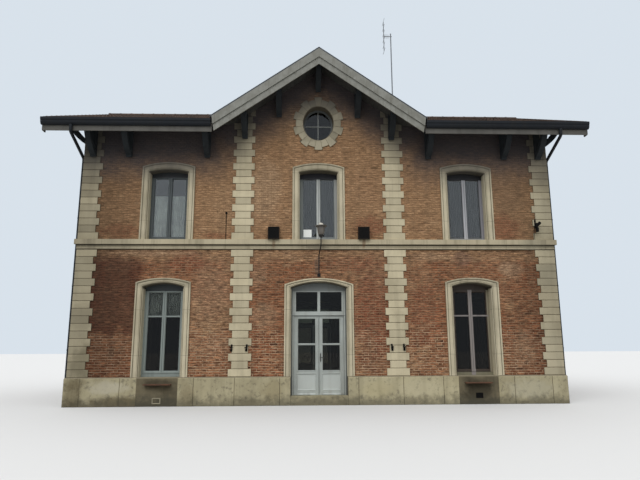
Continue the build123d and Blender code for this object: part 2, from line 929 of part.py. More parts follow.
with BuildPart() as ridge_tiles:
    add(ridge_cap(Plane.YZ, main_slope, main_tile_run, ridge_tile_rise))
    add(ridge_cap(Plane.XZ, gable_slope, gable_tile_run, gable_ridge_tile_rise))
    add(main_mass + gable_mass, mode=Mode.SUBTRACT)
    add(main_courses, mode=Mode.SUBTRACT)
    add(gable_courses, mode=Mode.SUBTRACT)


# Zinc flashings, folded over the ends of the tile courses at the verges and the gables
def edge_strip(plane, slope, reach, side, start):
    """A strip along both slopes of a roof, on one side of a plane."""
    foot = ridge_height - slope * reach
    with BuildPart() as strip:
        with BuildSketch(plane.offset(side * start)):
            with BuildLine():
                Polyline(
                    (-reach, foot), (0, ridge_height), (reach, foot),
                    (reach, foot + flashing_height), (0, ridge_height + flashing_height),
                    (-reach, foot + flashing_height),
                    close=True,
                )
            make_face()
        extrude(amount=side * flashing_width)
    return strip.part


with BuildPart() as verge_flashings:
    for side in (-1, 1):
        add(edge_strip(Plane.YZ, main_slope, main_tile_reach, side, main_tile_run))
        add(edge_strip(Plane.XZ, gable_slope, gable_tile_reach, side, gable_tile_run))

# Eaves boards and gutters, on the four wings
wing_start = gable_foot
eaves_length = verge_end - wing_start
eaves_middle = (verge_end + wing_start) / 2

with BuildPart() as eaves_fascias:
    with Locations(*on_long_walls(-eaves_middle, eaves_middle)):
        upright_box(eaves_length, fascia_bottom, fascia_top, board_thickness, -(fascia_face - half_depth))


def gutter_outline(inside, mode=Mode.ADD):
    """The gutter's ogee section at one depth inside its skin; its back is on the fascia."""
    back = -(fascia_face + inside)
    lip = -(fascia_face + gutter_width - inside)
    low = gutter_bottom + inside
    waist = (gutter_top + gutter_bottom) / 2
    sole = back - gutter_width / 3
    belly = lip + gutter_width / 5
    with BuildLine() as outline:
        Polyline((belly, waist), (lip, waist + gutter_width / 3), (lip, gutter_top), (back, gutter_top),
                 (back, low), (sole, low))
        ThreePointArc((sole, low), ((sole + 2 * belly) / 3, (low * 2 + waist) / 3), (belly, waist))
    make_face(outline.edges(), mode=mode)


gutter_start = gable_foot + gutter_end_gap
gutter_stop = verge_end + board_thickness + gutter_end_reach

with BuildPart() as one_gutter:
    with BuildSketch(Plane.YZ.offset(gutter_start)):
        gutter_outline(0)
    extrude(amount=gutter_stop - gutter_start)
    with BuildSketch(Plane.YZ.offset(gutter_start + gutter_wall)):
        gutter_outline(gutter_wall)
    extrude(amount=gutter_stop - gutter_start - 2 * gutter_wall, mode=Mode.SUBTRACT)

with BuildPart() as gutters:
    add(one_gutter.part)
    mirror(about=Plane.YZ)
    mirror(about=Plane.XZ)


# Bargeboards on the cross roof: a deep lower board with a second board lapped on its top
def board_pair(drop):
    """The two sloping boards of one gable in outline, from the roof's top edge down."""
    foot = gable_foot - bargeboard_foot_rake * drop / bargeboard_drop
    with BuildLine() as outline:
        Polyline(
            (0, ridge_height), (gable_foot, ridge_height - gable_slope * gable_foot),
            (foot, ridge_height - drop - gable_slope * foot), (0, ridge_height - drop),
            (-foot, ridge_height - drop - gable_slope * foot),
            (-gable_foot, ridge_height - gable_slope * gable_foot),
            close=True,
        )
    make_face(outline.edges())


with BuildPart() as gable_boards:
    with BuildSketch(Plane.XZ.offset(gable_end)):
        board_pair(bargeboard_drop)
    extrude(amount=board_thickness)
    with BuildSketch(Plane.XZ.offset(gable_end + board_thickness)):
        board_pair(upper_board_drop)
    extrude(amount=board_thickness)

with BuildPart() as gable_bargeboards:
    add(gable_boards.part)
    mirror(about=Plane.XZ)

# Verge boards on the ends of the main roof, dropped at the eaves to close the fascia
with BuildPart() as one_verge_board:
    with BuildSketch(Plane.YZ.offset(verge_end)):
        with BuildLine():
            Polyline(
                (-fascia_face, ridge_height - main_slope * fascia_face), (0, ridge_height),
                (fascia_face, ridge_height - main_slope * fascia_face),
                (fascia_face, fascia_bottom + board_thickness),
                (fascia_face - board_thickness, fascia_bottom),
                (eaves_end - verge_board_drop / 2, fascia_bottom),
                (
                    eaves_end - verge_board_drop / 2,
                    ridge_height - verge_board_drop - main_slope * (eaves_end - verge_board_drop / 2),
                ),
                (0, ridge_height - verge_board_drop),
                (
                    verge_board_drop / 2 - eaves_end,
                    ridge_height - verge_board_drop - main_slope * (eaves_end - verge_board_drop / 2),
                ),
                (verge_board_drop / 2 - eaves_end, fascia_bottom),
                (board_thickness - fascia_face, fascia_bottom),
                (-fascia_face, fascia_bottom + board_thickness),
                close=True,
            )
        make_face()
    extrude(amount=board_thickness)

with BuildPart() as verge_boards:
    add(one_verge_board.part)
    mirror(about=Plane.YZ)


# Timber brackets: a post on the wall, an arm under the roof and a brace between them
def bracket(bottom, wall_top, arm_drop):
    """One bracket in its wall's frame. The arm falls by arm_drop over its whole reach."""
    arm_low = wall_top - bracket_timber
    tip_low = arm_low - arm_drop
    brace_foot = bottom + bracket_timber / 2
    brace_top = tip_low + arm_drop * bracket_timber / bracket_reach
    with BuildPart() as timber:
        with BuildSketch(Plane.YZ):
            with BuildLine():
                Polyline(
                    (0, bottom + bracket_timber / 3), (-bracket_timber * 2 / 3, bottom),
                    (-bracket_timber, bottom + bracket_timber / 3),
                    (-bracket_timber, arm_low - arm_drop * bracket_timber / bracket_reach),
                    (-bracket_reach, tip_low), (-bracket_reach, wall_top), (0, wall_top),
                    close=True,
                )
            make_face()
            with BuildLine():
                Polyline((-bracket_timber / 2, brace_foot + bracket_timber), (-bracket_timber, brace_foot))
                ThreePointArc(
                    (-bracket_timber, brace_foot),
                    (-bracket_reach * 0.62, brace_foot + (brace_top - brace_foot) * 0.42),
                    (-bracket_reach + bracket_timber / 2, brace_top + bracket_timber / 2),
                )
                Line(
                    (-bracket_reach + bracket_timber / 2, brace_top + bracket_timber / 2),
                    (-bracket_reach + bracket_timber * 1.6, brace_top + bracket_timber / 2),
                )
                ThreePointArc(
                    (-bracket_reach + bracket_timber * 1.6, brace_top + bracket_timber / 2),
                    (-bracket_reach * 0.48, brace_foot + (brace_top - brace_foot) * 0.58),
                    (-bracket_timber / 2, brace_foot + bracket_timber),
                )
            make_face()
        extrude(amount=bracket_width / 2, both=True)
    return timber.part


wing_drop = main_slope * bracket_reach
wing_top = main_underside(half_depth)
wings = [side * place for place in wing_bracket_places for side in (-1, 1)]
gables = sorted({side * place for place in gable_bracket_places for side in (-1, 1)})
ends = sorted({side * place for place in end_bracket_places for side in (-1, 1)})


def off_quoins(places, distance, quoin_places):
    """Bracket places along a wall; those on a stone quoin start from its face."""
    over_quoin = Location((0, -quoin_proud, 0))
    return [place * over_quoin if distance in quoin_places else place for place in places]


with BuildPart() as roof_brackets:
    for place in wings:
        with Locations(*off_quoins(on_long_walls(place), abs(place), wing_bracket_places[-1:])):
            add(bracket(wing_top - wing_bracket_height, wing_top, wing_drop))
    for place in gables:
        top = gable_underside(abs(place))
        with Locations(*off_quoins(on_long_walls(place), abs(place), gable_bracket_places[-1:])):
            add(bracket(top - gable_bracket_height, top + bracket_width, 0))
    for place in ends:
        top = main_underside(abs(place))
        with Locations(*off_quoins(on_end_walls(place), abs(place), end_bracket_places[-1:])):
            add(bracket(top - gable_bracket_height, top + bracket_width, 0))
    add(roof_space, mode=Mode.INTERSECT)

# Downpipes: from the gutter back to the end wall in one slanting length, then down
pipe_x = half_length + plinth_proud + downpipe_stand_off
pipe_y = half_depth - downpipe_setback
outlet_y = fascia_face + gutter_width / 3 + downpipe_radius / 2

with BuildPart() as one_downpipe:
    with BuildLine() as route:
        FilletPolyline(
            (-downpipe_outlet, -outlet_y, gutter_bottom),
            (-downpipe_outlet, -outlet_y, fascia_bottom - downpipe_below_fascia),
            (-pipe_x, -pipe_y, fascia_bottom - downpipe_bend_drop), (-pipe_x, -pipe_y, downpipe_foot),
            radius=2 * downpipe_radius,
        )
    with BuildSketch(Plane(origin=route.line @ 0, z_dir=route.line % 0)):
        Circle(downpipe_radius)
    sweep()
    for low in clip_heights:
        with Locations((-pipe_x, -pipe_y, low)):
            Cylinder(downpipe_radius + clip_thickness, clip_height, align=level)
        with Locations((-(quoin_x + pipe_x) / 2, -pipe_y, low)):
            Box(pipe_x - quoin_x, clip_thickness * 2, clip_height, align=level)

with BuildPart() as downpipes:
    add(one_downpipe.part)
    mirror(about=Plane.YZ)
    mirror(about=Plane.XZ)

# Fittings on the front: two sheet-metal boxes, a lamp over the door and two ledges
with BuildPart() as wall_boxes:
    with Locations(*[front_wall * Location((side * wall_box_place, 0, 0)) for side in (-1, 1)]):
        upright_box(
            wall_box_width, string_course_top, string_course_top + wall_box_height, wall_box_depth,
            -wall_box_depth,
        )

# The lamp: an arm up the wall and out over the string course, and a shaded head
lamp_body_low = lamp_neck_height + lamp_bowl_height
lamp_brim_low = lamp_body_low + lamp_body_height
lamp_cap_low = lamp_brim_low + lamp_brim_thickness

with BuildPart() as lamp:
    with BuildLine() as lamp_route:
        FilletPolyline(
            (0, 0, lamp_foot_height), (0, -lamp_arm_stand_off, lamp_foot_height),
            (0, -lamp_arm_stand_off, lamp_arm_bend_height),
            (lamp_lean, -lamp_reach, (lamp_arm_bend_height + lamp_neck_height) / 2),
            (lamp_lean, -lamp_reach, lamp_neck_height),
            radius=2.5 * lamp_arm_radius,
        )
    with BuildSketch(Plane(origin=lamp_route.line @ 0, z_dir=lamp_route.line % 0)):
        Circle(lamp_arm_radius)
    sweep()
    upright_box(
        lamp_plate, lamp_foot_height - lamp_plate / 2, lamp_foot_height + lamp_plate / 2,
        lamp_arm_radius, -lamp_arm_radius,
    )
    with Locations((lamp_lean, -lamp_reach, lamp_neck_height)):
        Cone(lamp_neck_radius, lamp_bowl_radius, lamp_bowl_height, align=level)
    with Locations((lamp_lean, -lamp_reach, lamp_body_low)):
        Cone(lamp_bowl_radius, lamp_body_radius, lamp_body_height, align=level)
    with Locations((lamp_lean, -lamp_reach, lamp_brim_low)):
        Cylinder(lamp_brim_radius, lamp_brim_thickness, align=level)
    with Locations((lamp_lean, -lamp_reach, lamp_cap_low)):
        Cylinder(lamp_cap_radius, lamp_cap_height, align=level)
    fillet(lamp.edges().sort_by(Axis.Z)[-1], lamp_cap_radius * 0.8)

door_lamp = placed(lamp.part, front_wall)

with BuildPart() as window_ledges:
    with Locations(*[front_wall * Location((side * ground_window_place, 0, 0)) for side in (-1, 1)]):
        upright_box(ledge_width, ledge_height - ledge_thickness, ledge_height, ledge_depth,
                    -plinth_proud - ledge_depth)

# Aerial on the ridge: the mast stands on the ridge tiles, the boom runs along the ridge
mast_foot = ridge_height + ridge_tile_rise
boom_height = mast_foot + mast_height - aerial_boom_drop
boom_start = mast_place + 2 * mast_radius - aerial_boom_length

with BuildPart() as tv_aerial:
    with Locations((mast_place, 0, mast_foot)):
        Cylinder(mast_radius, mast_height, align=level)
    with Locations((boom_start + aerial_boom_length / 2, 0, boom_height)):
        Box(aerial_boom_length, aerial_bar, aerial_bar)
    with Locations((boom_start + aerial_bar / 2, 0, boom_height)):
        Box(aerial_bar, aerial_bar, reflector_height)
    for number in range(reflector_rods):
        rod_height = boom_height + reflector_height * (number / (reflector_rods - 1) - 0.5)
        with Locations((boom_start + aerial_bar / 2, 0, rod_height)):
            Box(aerial_rod, reflector_rod_length, aerial_rod)
    for number in range(director_count):
        director_place = boom_start + aerial_boom_length * (number + 1) / (director_count + 3)
        with Locations((director_place, 0, boom_height)):
            Box(aerial_rod, aerial_rod, director_height)

pieces = {
    "long_plinths": long_plinths,
    "end_plinths": end_plinths,
    "door_thresholds": door_thresholds,
    "ground_floor": ground_floor,
    "first_floor": first_floor,
    "attic_floor": attic_floor,
    "long_ground_walls": long_ground_walls,
    "door_head_walls": door_head_walls,
    "end_ground_walls": end_ground_walls,
    "string_courses": string_courses,
    "end_string_courses": end_string_courses,
    "front_upper_wall": front_upper_wall,
    "rear_upper_wall": rear_upper_wall,
    "end_upper_walls": end_upper_walls,
    "front_gable_wall": front_gable_wall,
    "rear_gable_wall": rear_gable_wall,
    "end_gable_walls": end_gable_walls,
    "corner_quoins": corner_quoins,
    "pier_quoins": pier_quoins,
    "ground_window_surrounds": ground_window_surrounds,
    "upper_window_surrounds": upper_window_surrounds,
    "door_surrounds": door_surrounds,
    "oculus_surrounds": oculus_surrounds,
    "ground_window_frames": ground_window_frames,
    "upper_window_frames": upper_window_frames,
    "window_glass": window_glass,
    "fanlight_glass": fanlight_glass,
    "door_frames": door_frames,
    "left_door_leaf": left_door_leaf,
    "right_door_leaf": right_door_leaf,
    "left_door_glass": left_door_glass,
    "right_door_glass": right_door_glass,
    "door_handle": door_handle,
    "rear_door_leaves": rear_door_leaves,
    "main_roof_left": main_roof_left,
    "main_roof_right": main_roof_right,
    "front_gable_roof": front_gable_roof,
    "rear_gable_roof": rear_gable_roof,
    "ridge_tiles": ridge_tiles,
    "verge_flashings": verge_flashings,
    "eaves_fascias": eaves_fascias,
    "gutters": gutters,
    "gable_bargeboards": gable_bargeboards,
    "verge_boards": verge_boards,
    "roof_brackets": roof_brackets,
    "downpipes": downpipes,
    "door_lamp": door_lamp,
    "wall_boxes": wall_boxes,
    "window_ledges": window_ledges,
    "tv_aerial": tv_aerial,
}

for name, piece in pieces.items():
    piece.part.label = name
    export_step(piece.part, f"parts/{name}.step")
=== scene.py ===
import bpy
import numpy as np
from mathutils import Matrix


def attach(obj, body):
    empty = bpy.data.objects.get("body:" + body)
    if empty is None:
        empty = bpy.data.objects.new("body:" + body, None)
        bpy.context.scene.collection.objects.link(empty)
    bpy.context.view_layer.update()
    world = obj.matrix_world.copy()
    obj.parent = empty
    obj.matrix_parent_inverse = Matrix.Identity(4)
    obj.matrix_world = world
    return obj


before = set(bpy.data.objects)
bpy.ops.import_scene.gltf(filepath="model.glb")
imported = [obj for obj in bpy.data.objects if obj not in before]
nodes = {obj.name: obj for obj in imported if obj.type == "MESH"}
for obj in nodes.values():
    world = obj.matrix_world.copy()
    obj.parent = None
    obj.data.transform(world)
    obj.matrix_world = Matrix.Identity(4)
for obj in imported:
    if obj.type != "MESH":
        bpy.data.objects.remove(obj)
scene = bpy.context.scene
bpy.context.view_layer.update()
chance = np.random.default_rng(7)


# The view. The camera stands in front of the building at eye height, a little left of its
# middle, and looks slightly up. It has a short lens, so the eaves spread at the top.
eye = (-0.507, -19.803, 1.540)
turn, tilt, roll = np.radians((1.966, 11.071, -0.257))
ahead = np.array((np.sin(turn) * np.cos(tilt), np.cos(turn) * np.cos(tilt), np.sin(tilt)))
across = np.array((np.cos(turn), -np.sin(turn), 0.0))
upward = np.cross(across, ahead)
right = np.cos(roll) * across + np.sin(roll) * upward
above = np.cos(roll) * upward - np.sin(roll) * across
camera = bpy.data.objects.new("camera", bpy.data.cameras.new("camera"))
camera.data.lens = 31.106
camera.data.clip_end = 500.0
rows = [(*row, place) for row, place in zip(np.stack([right, above, -ahead], 1), eye)]
camera.matrix_world = Matrix(rows + [(0, 0, 0, 1)])
scene.collection.objects.link(camera)
scene.camera = camera
scene.view_settings.view_transform = "Standard"


# The light. An even overcast sky, brighter overhead, with one wide soft lamp above the front.
# The pale sky that the camera, glass and metal see gives no extra light to the walls.
class Value:
    """A socket of a shader tree. Sums and comparisons written on it become maths nodes."""
    def __init__(self, socket):
        self.socket, self.tree = socket, socket.id_data

    def __add__(self, other):
        return maths("ADD", self, other)

    def __sub__(self, other):
        return maths("SUBTRACT", self, other)

    def __rsub__(self, other):
        return maths("SUBTRACT", other, self)

    def __mul__(self, other):
        return maths("MULTIPLY", self, other)

    def __abs__(self):
        return maths("ABSOLUTE", self)

    def __lt__(self, other):
        return maths("LESS_THAN", self, other)

    def __gt__(self, other):
        return maths("GREATER_THAN", self, other)


def fill(made, values):
    """Sets inputs of a node. Each is a number or colour, or a value or socket to join."""
    for name, value in values.items():
        value = getattr(value, "socket", value)
        if isinstance(value, bpy.types.NodeSocket):
            made.id_data.links.new(value, made.inputs[name])
        else:
            made.inputs[name].default_value = value


def add_node(tree, kind, values=None, **settings):
    """A shader node with its settings and the inputs that are given."""
    made = tree.nodes.new(kind if kind.startswith("NodeGroup") else "ShaderNode" + kind)
    for name, value in settings.items():
        setattr(made, name, value)
    fill(made, values or {})
    return made


def made_by(kind, values, output=0, **settings):
    """What a new node gives, in the tree of the first of its values."""
    tree = next(value.tree for value in values.values() if isinstance(value, Value))
    return Value(add_node(tree, kind, values, **settings).outputs[output])


def maths(operation, *terms):
    """One sum of up to three terms."""
    return made_by("Math", dict(enumerate(terms)), operation=operation)


def most(first, *others):
    """The greatest of some values."""
    for other in others:
        first = maths("MAXIMUM", first, other)
    return first


def split(place):
    """The X, Y and Z of a place."""
    return [Value(part) for part in add_node(place.tree, "SeparateXYZ", {0: place}).outputs]


def seen_rays(tree):
    """1 for rays from the camera, a reflection or through glass, 0 for rays that carry light."""
    ray = add_node(tree, "LightPath").outputs
    return most(Value(ray["Is Camera Ray"]), ray["Is Glossy Ray"], ray["Is Transmission Ray"])


sky = bpy.data.worlds.new("overcast sky")
scene.world = sky
sky.use_nodes = True
tree = sky.node_tree
tree.nodes.clear()
overhead = most(split(Value(add_node(tree, "TexCoord").outputs["Generated"]))[2], 0.0)
sky_light = add_node(tree, "Background", {"Color": (1.0, 0.99, 0.97, 1), "Strength": overhead * 0.95 + 0.38})
sky_seen = add_node(tree, "Background", {"Color": (0.69, 0.76, 0.83, 1), "Strength": 1.0})
both = add_node(tree, "MixShader", {0: seen_rays(tree), 1: sky_light.outputs[0], 2: sky_seen.outputs[0]})
add_node(tree, "OutputWorld", {0: both.outputs[0]})

lamp_data = bpy.data.lights.new("soft lamp", "SUN")
lamp_data.energy = 1.3
lamp_data.angle = np.radians(50)
lamp = bpy.data.objects.new("soft lamp", lamp_data)
lamp.rotation_euler = np.radians((42, 0, -16))
scene.collection.objects.link(lamp)


# The ground. A wide pale floor that keeps the building's shadow; light that bounces off it
# is that of a mid grey yard, so the undersides of the eaves stay dark.
def mix(share, first, second):
    """Two colours mixed by a share from 0 to 1."""
    first, second = [(*shade, 1) if isinstance(shade, tuple) else shade for shade in (first, second)]
    return made_by("Mix", {0: share, 6: first, 7: second}, 2, data_type="RGBA")


def surface(name):
    """A new material, its shader, and the place on its object."""
    material = bpy.data.materials.new(name)
    material.use_nodes = True
    tree = material.node_tree
    return material, tree.nodes["Principled BSDF"], Value(add_node(tree, "TexCoord").outputs["Object"])


floor_finish, shader, place = surface("pale floor")
fill(shader, {"Roughness": 0.9, "Base Color": mix(seen_rays(place.tree), (0.22, 0.22, 0.21), (0.66, 0.67, 0.68))})
floor_mesh = bpy.data.meshes.new("pale floor")
floor_mesh.from_pydata([(-180, -180, 0), (180, -180, 0), (180, 180, 0), (-180, 180, 0)], [], [(0, 1, 2, 3)])
floor_mesh.materials.append(floor_finish)
pale_floor = bpy.data.objects.new("pale_floor", floor_mesh)
scene.collection.objects.link(pale_floor)


# Plinth. A low course of large limestone blocks, hand dressed, with a top arris painted dark as shade.
# Under each ground floor window the blocks give way to a rendered apron, now dark with damp.
weathering = bpy.data.node_groups.new("weathering", "ShaderNodeTree")
for label, usual in (("Size", 1.0), ("Run", 6.0), ("Grain size", 60.0)):
    weathering.interface.new_socket(label, in_out="INPUT", socket_type="NodeSocketFloat").default_value = usual
for label in ("Patches", "Streaks", "Grain", "Foot", "Eaves", "Ends"):
    weathering.interface.new_socket(label, in_out="OUTPUT", socket_type="NodeSocketFloat")


def noise(place, scale, detail=5.0, rough=0.6):
    """Cloudy noise from 0 to 1 at a scale per metre."""
    return made_by("TexNoise", {"Vector": place, "Scale": scale, "Detail": detail, "Roughness": rough})


def ramp(value, low, high, start=0.0, end=1.0):
    """A value mapped from low..high to start..end, smooth and held at both ends."""
    return made_by("MapRange", dict(enumerate((value, low, high, start, end))), interpolation_type="SMOOTHSTEP")


def stretched(place, upright):
    """A place with its height multiplied, so that noise on it lies flat or stands up."""
    return made_by("VectorMath", {0: place, 1: (1, 1, upright)}, operation="MULTIPLY")


def scaled(colour, light):
    """A colour made lighter or darker by a factor."""
    return made_by("VectorMath", {0: colour, "Scale": light}, operation="SCALE")


def face_tone(tree):
    """The number that each face of a mesh carries for its own shade."""
    return Value(add_node(tree, "Attribute", attribute_name="tone").outputs["Fac"])


given = add_node(weathering, "NodeGroupInput").outputs
place = Value(add_node(weathering, "TexCoord").outputs["Object"])
x, y, height = split(place)
# Soot and painted shade of the overhang reach down from the undersides of both roofs, whose heights come from their
# slopes.
from_ends, from_sides = abs(x), abs(y)
main_roof, cross_roof = from_sides * -0.4536 + 9.998, from_ends * -0.7002 + 9.978
ragged = noise(place, 2.3)
wings = ramp(from_ends, 2.3, 3.3) * ramp(ragged * -0.7 + (main_roof - height), 0.35, 1.80, 1.0, 0.0)
gables = ramp(ragged * -0.7 + (most(main_roof, cross_roof) - height), -0.15, 1.35, 1.0, 0.0)
# Colour gets darker towards both ends of the front and rear walls.
darker_ends = ramp(ragged * 0.8 + abs(x - 0.3), 5.0, 7.4)
add_node(weathering, "NodeGroupOutput", {
    "Patches": ramp(noise(place, given["Size"]), 0.36, 0.66),
    "Streaks": ramp(noise(stretched(place, 0.07), given["Run"], 4.0), 0.46, 0.72),
    "Grain": noise(place, given["Grain size"], 6.0, 0.7),
    "Foot": ramp(noise(place, 5.0, 6.0) * -0.7 + height, -0.32, 0.0, 1.0, 0.0),
    "Eaves": most(wings, gables),
    "Ends": darker_ends * ramp(from_sides, 3.5, 3.9),
})


def bump(lift, relief, depth):
    """Fine relief from a height."""
    return made_by("Bump", {"Strength": relief, "Distance": depth, "Height": lift})


def finish(name, pale, dark, stain, rough=0.85, size=1.1, run=6.0, grain=60.0, worn=0.7, streaked=0.5,
           relief=0.35, depth=0.004, toned=0.0, foot=0.0, soot_and_shade=0.0, ends=0.0, metal=0.0, shine=0.3, change=None):
    """A weathered surface: pale turns to dark in patches and to stain in upright streaks.
    Toned pieces get lighter or darker one by one. Change may add to the colour and height."""
    material, shader, place = surface(name)
    worked = add_node(place.tree, "Group", {"Size": size, "Run": run, "Grain size": grain}, node_tree=weathering)
    mask = {made.name: Value(made) for made in worked.outputs}
    colour = mix(mask["Patches"] * worn, pale, dark)
    colour = mix(mask["Streaks"] * streaked, colour, stain)
    if toned:
        colour = scaled(colour, face_tone(place.tree) * (2 * toned) + (1 - toned))
    lift = mask["Grain"]
    if change:
        colour, lift = change(place, colour, lift, mask)
    if foot:
        colour = mix(mask["Foot"] * foot, colour, (0.07, 0.065, 0.045))
    if ends:
        colour = scaled(colour, mask["Ends"] * -ends + 1.0)
    # Under the eaves the colour darkens: soot, and painted shade of the roofs' overhang.
    if soot_and_shade:
        colour = mix(mask["Eaves"] * soot_and_shade, colour, (0.066, 0.066, 0.078))
    fill(shader, {
        "Metallic": metal, "Specular IOR Level": shine, "Base Color": colour, "Normal": bump(lift, relief, depth),
        "Roughness": ramp(mask["Grain"], 0.2, 0.8, max(rough - 0.12, 0.05), min(rough + 0.1, 1))})
    return material


def ragged_marks(marks, before=None):
    """Soft ragged marks on the front, most of them stains and some painted shade and light: each is a middle, half its
    width and height, a colour and how strong it is. A mark fades where the distance from its middle, in those halves,
    nears 1."""
    def change(place, colour, lift, mask):
        if before:
            colour, lift = before(place, colour, lift, mask)
        front = split(place)[1] < -3.7
        ragged = noise(place, 3.2, 6.0, 0.7) * 1.6 - 0.8
        for across, up, wide, high, shade, strength in marks:
            offset = made_by("VectorMath", {0: place, 1: (1 / wide, 0, 1 / high), 2: (-across / wide, 0, -up / high)},
                             operation="MULTIPLY_ADD")
            away = made_by("VectorMath", {0: offset}, "Value", operation="LENGTH")
            colour = mix(ramp(away + ragged, 0.45, 1.15, strength, 0.0) * front, colour, shade)
        return colour, lift
    return change


def dress(names, material):
    """Gives CAD nodes their finish."""
    for name in names.split():
        nodes[name].data.materials.clear()
        nodes[name].data.materials.append(material)


def make_piece(name, shape, material, body="building", tone=None, smooth=False):
    """A mesh from whole arrays: three numbers for a point, and a row of corners for a face.
    Tone is one number for each face or each equal run of faces, which toned finishes read."""
    points, faces = np.asarray(shape[0], float).reshape(-1, 3), np.asarray(shape[1], np.int32)
    mesh = bpy.data.meshes.new(name)
    mesh.vertices.add(len(points))
    mesh.vertices.foreach_set("co", points.ravel())
    mesh.loops.add(faces.size)
    mesh.loops.foreach_set("vertex_index", faces.ravel())
    mesh.polygons.add(len(faces))
    mesh.polygons.foreach_set("loop_start", np.arange(0, faces.size, faces.shape[1], dtype=np.int32))
    mesh.polygons.foreach_set("use_smooth", np.full(len(faces), smooth))
    mesh.update(calc_edges=True)
    if tone is not None:
        tone = np.repeat(np.asarray(tone, np.float32), len(faces) // len(tone))
        mesh.attributes.new("tone", "FLOAT", "FACE").data.foreach_set("value", tone)
    mesh.materials.append(material)
    piece = bpy.data.objects.new(name, mesh)
    scene.collection.objects.link(piece)
    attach(piece, body)
    return piece


half_length, half_depth = 6.900, 4.000
walls = {"front": (0, half_depth), "right": (90, half_length), "rear": (180, half_depth), "left": (270, half_length)}


def on_wall(wall, along, outward, height):
    """Places on a wall: along it from its middle to the right, out from its brick face, and up.
    They are turned about the upright axis by the wall's own angle."""
    angle, face = walls[wall]
    cosine, sine = np.round((np.cos(np.radians(angle)), np.sin(np.radians(angle))), 9)
    out = face + outward
    return np.stack([along * cosine + out * sine, along * sine - out * cosine, height], -1)


def stepped(wall, spans, rings, closed=True):
    """Rectangles on a wall, each carried outwards through rings: a span is left, right, low and
    high, and a ring is an inset from it and a height off the wall, with one number or one for
    each span. The last ring is closed with a face, or left open for a frame."""
    left, right, low, high = np.asarray(spans, float).T
    along, out, up = [], [], []
    for inset, rise in rings:
        along += [left + inset, right - inset, right - inset, left + inset]
        up += [low + inset, low + inset, high - inset, high - inset]
        out += [rise + 0 * left] * 4
    points = on_wall(wall, np.stack(along, 1), np.stack(out, 1), np.stack(up, 1))
    side = np.array([(0, 1, 5, 4), (1, 2, 6, 5), (2, 3, 7, 6), (3, 0, 4, 7)])
    corners = np.concatenate([side + 4 * ring for ring in range(len(rings) - 1)])
    if closed:
        corners = np.concatenate([corners, [np.arange(4) + 4 * len(rings) - 4]])
    faces = corners + np.arange(len(left))[:, None, None] * 4 * len(rings)
    return points.reshape(-1, 3), faces.reshape(-1, 4)


def gathered(parts):
    """Several meshes as one: (points, faces) pairs laid end to end."""
    starts = np.cumsum([0] + [len(points) for points, _ in parts[:-1]])
    return (np.concatenate([points for points, _ in parts]),
            np.concatenate([faces + start for (_, faces), start in zip(parts, starts)]))


plinth_joint = 0.013
front_stones = [(-6.970, -6.534), (-6.534, -5.460), (-5.460, -5.002), (-3.893, -3.459), (-3.459, -2.340),
                (-2.340, -1.092), (-1.092, -0.795)]
end_stones = [(-4.070, -3.560), (-3.560, -2.560), (-1.440, -0.480), (-0.480, 0.480), (0.480, 1.440), (2.560, 3.560),
              (3.560, 4.070)]
stones = {"front": front_stones + [(-right, -left) for left, right in front_stones], "left": end_stones}
stones["rear"], stones["right"] = stones["front"], stones["left"]


def above_foot(place, colour, lift, mask):
    """The render between the blocks is dark; the top arris above it is painted a darker stone colour, as painted shade
    that takes back the light on its top.
    """
    return mix(ramp(split(place)[2], 0.742, 0.750), colour, (0.20, 0.175, 0.12)), lift


def mottled(place, colour, lift, mask):
    """Small dark spots of lichen, a brown stain near the left corner, and dark cavities."""
    spots = ramp(noise(place, 9.0, 7.0, 0.75), 0.52, 0.66, 0.0, 0.7)
    colour = mix(spots, colour, (0.17, 0.155, 0.11))
    brown = ramp(noise(place, 2.6, 4.0) * 1.5 + split(place)[0], -6.0, -5.2, 0.75, 0.0)
    return mix(brown * mask["Patches"], colour, (0.13, 0.10, 0.05)), lift - spots


plinth_marks = (
    (-6.70, 0.40, 0.26, 0.60, (0.15, 0.115, 0.058), 0.50), (-5.40, 0.10, 1.20, 0.19, (0.14, 0.108, 0.055), 0.75),
    (-5.80, 0.50, 0.60, 0.20, (0.60, 0.56, 0.44), 0.65), (-3.60, 0.25, 0.25, 0.35, (0.20, 0.16, 0.09), 0.5),
    (-1.30, 0.40, 0.35, 0.40, (0.30, 0.25, 0.14), 0.5), (2.80, 0.45, 0.70, 0.25, (0.56, 0.51, 0.35), 0.5),
    (1.60, 0.40, 0.50, 0.30, (0.50, 0.44, 0.26), 0.4), (5.90, 0.40, 0.80, 0.30, (0.54, 0.51, 0.39), 0.45))
# The second apron mark, a dark band under the left ground window's steel ledge, is the ledge's painted shadow.
apron_marks = (
    (4.42, 0.36, 0.50, 0.42, (0.028, 0.023, 0.014), 0.7), (-4.42, 0.62, 0.55, 0.10, (0.045, 0.037, 0.023), 0.6),
    (-4.60, 0.30, 0.35, 0.20, (0.22, 0.19, 0.125), 0.4))
plinth_finish = finish(
    "plinth stone", (0.50, 0.450, 0.295), (0.37, 0.325, 0.205), (0.23, 0.20, 0.13), grain=35, toned=0.16, foot=0.6,
    relief=0.7, depth=0.007, worn=0.8, streaked=0.35, ends=0.2, change=ragged_marks(plinth_marks, mottled))
apron_finish = finish(
    "damp render", (0.165, 0.14, 0.088), (0.085, 0.072, 0.046), (0.05, 0.044, 0.028), size=2.6, grain=45, foot=0.9,
    relief=0.7, depth=0.008, change=ragged_marks(apron_marks, above_foot))
dress("long_plinths end_plinths", apron_finish)
dress("door_thresholds", plinth_finish)
for wall in walls:
    spans = np.array([(left, right, 0.0, 0.752) for left, right in stones[wall]])
    shape = stepped(wall, spans + [plinth_joint / 2, -plinth_joint / 2, 0.002, 0],
                    [(0, 0.060), (0, 0.070), (0.003, 0.075), (0.012, 0.078)])
    make_piece(f"{wall}_plinth_stones", shape, plinth_finish, tone=chance.normal(0.5, 0.25, len(spans)))


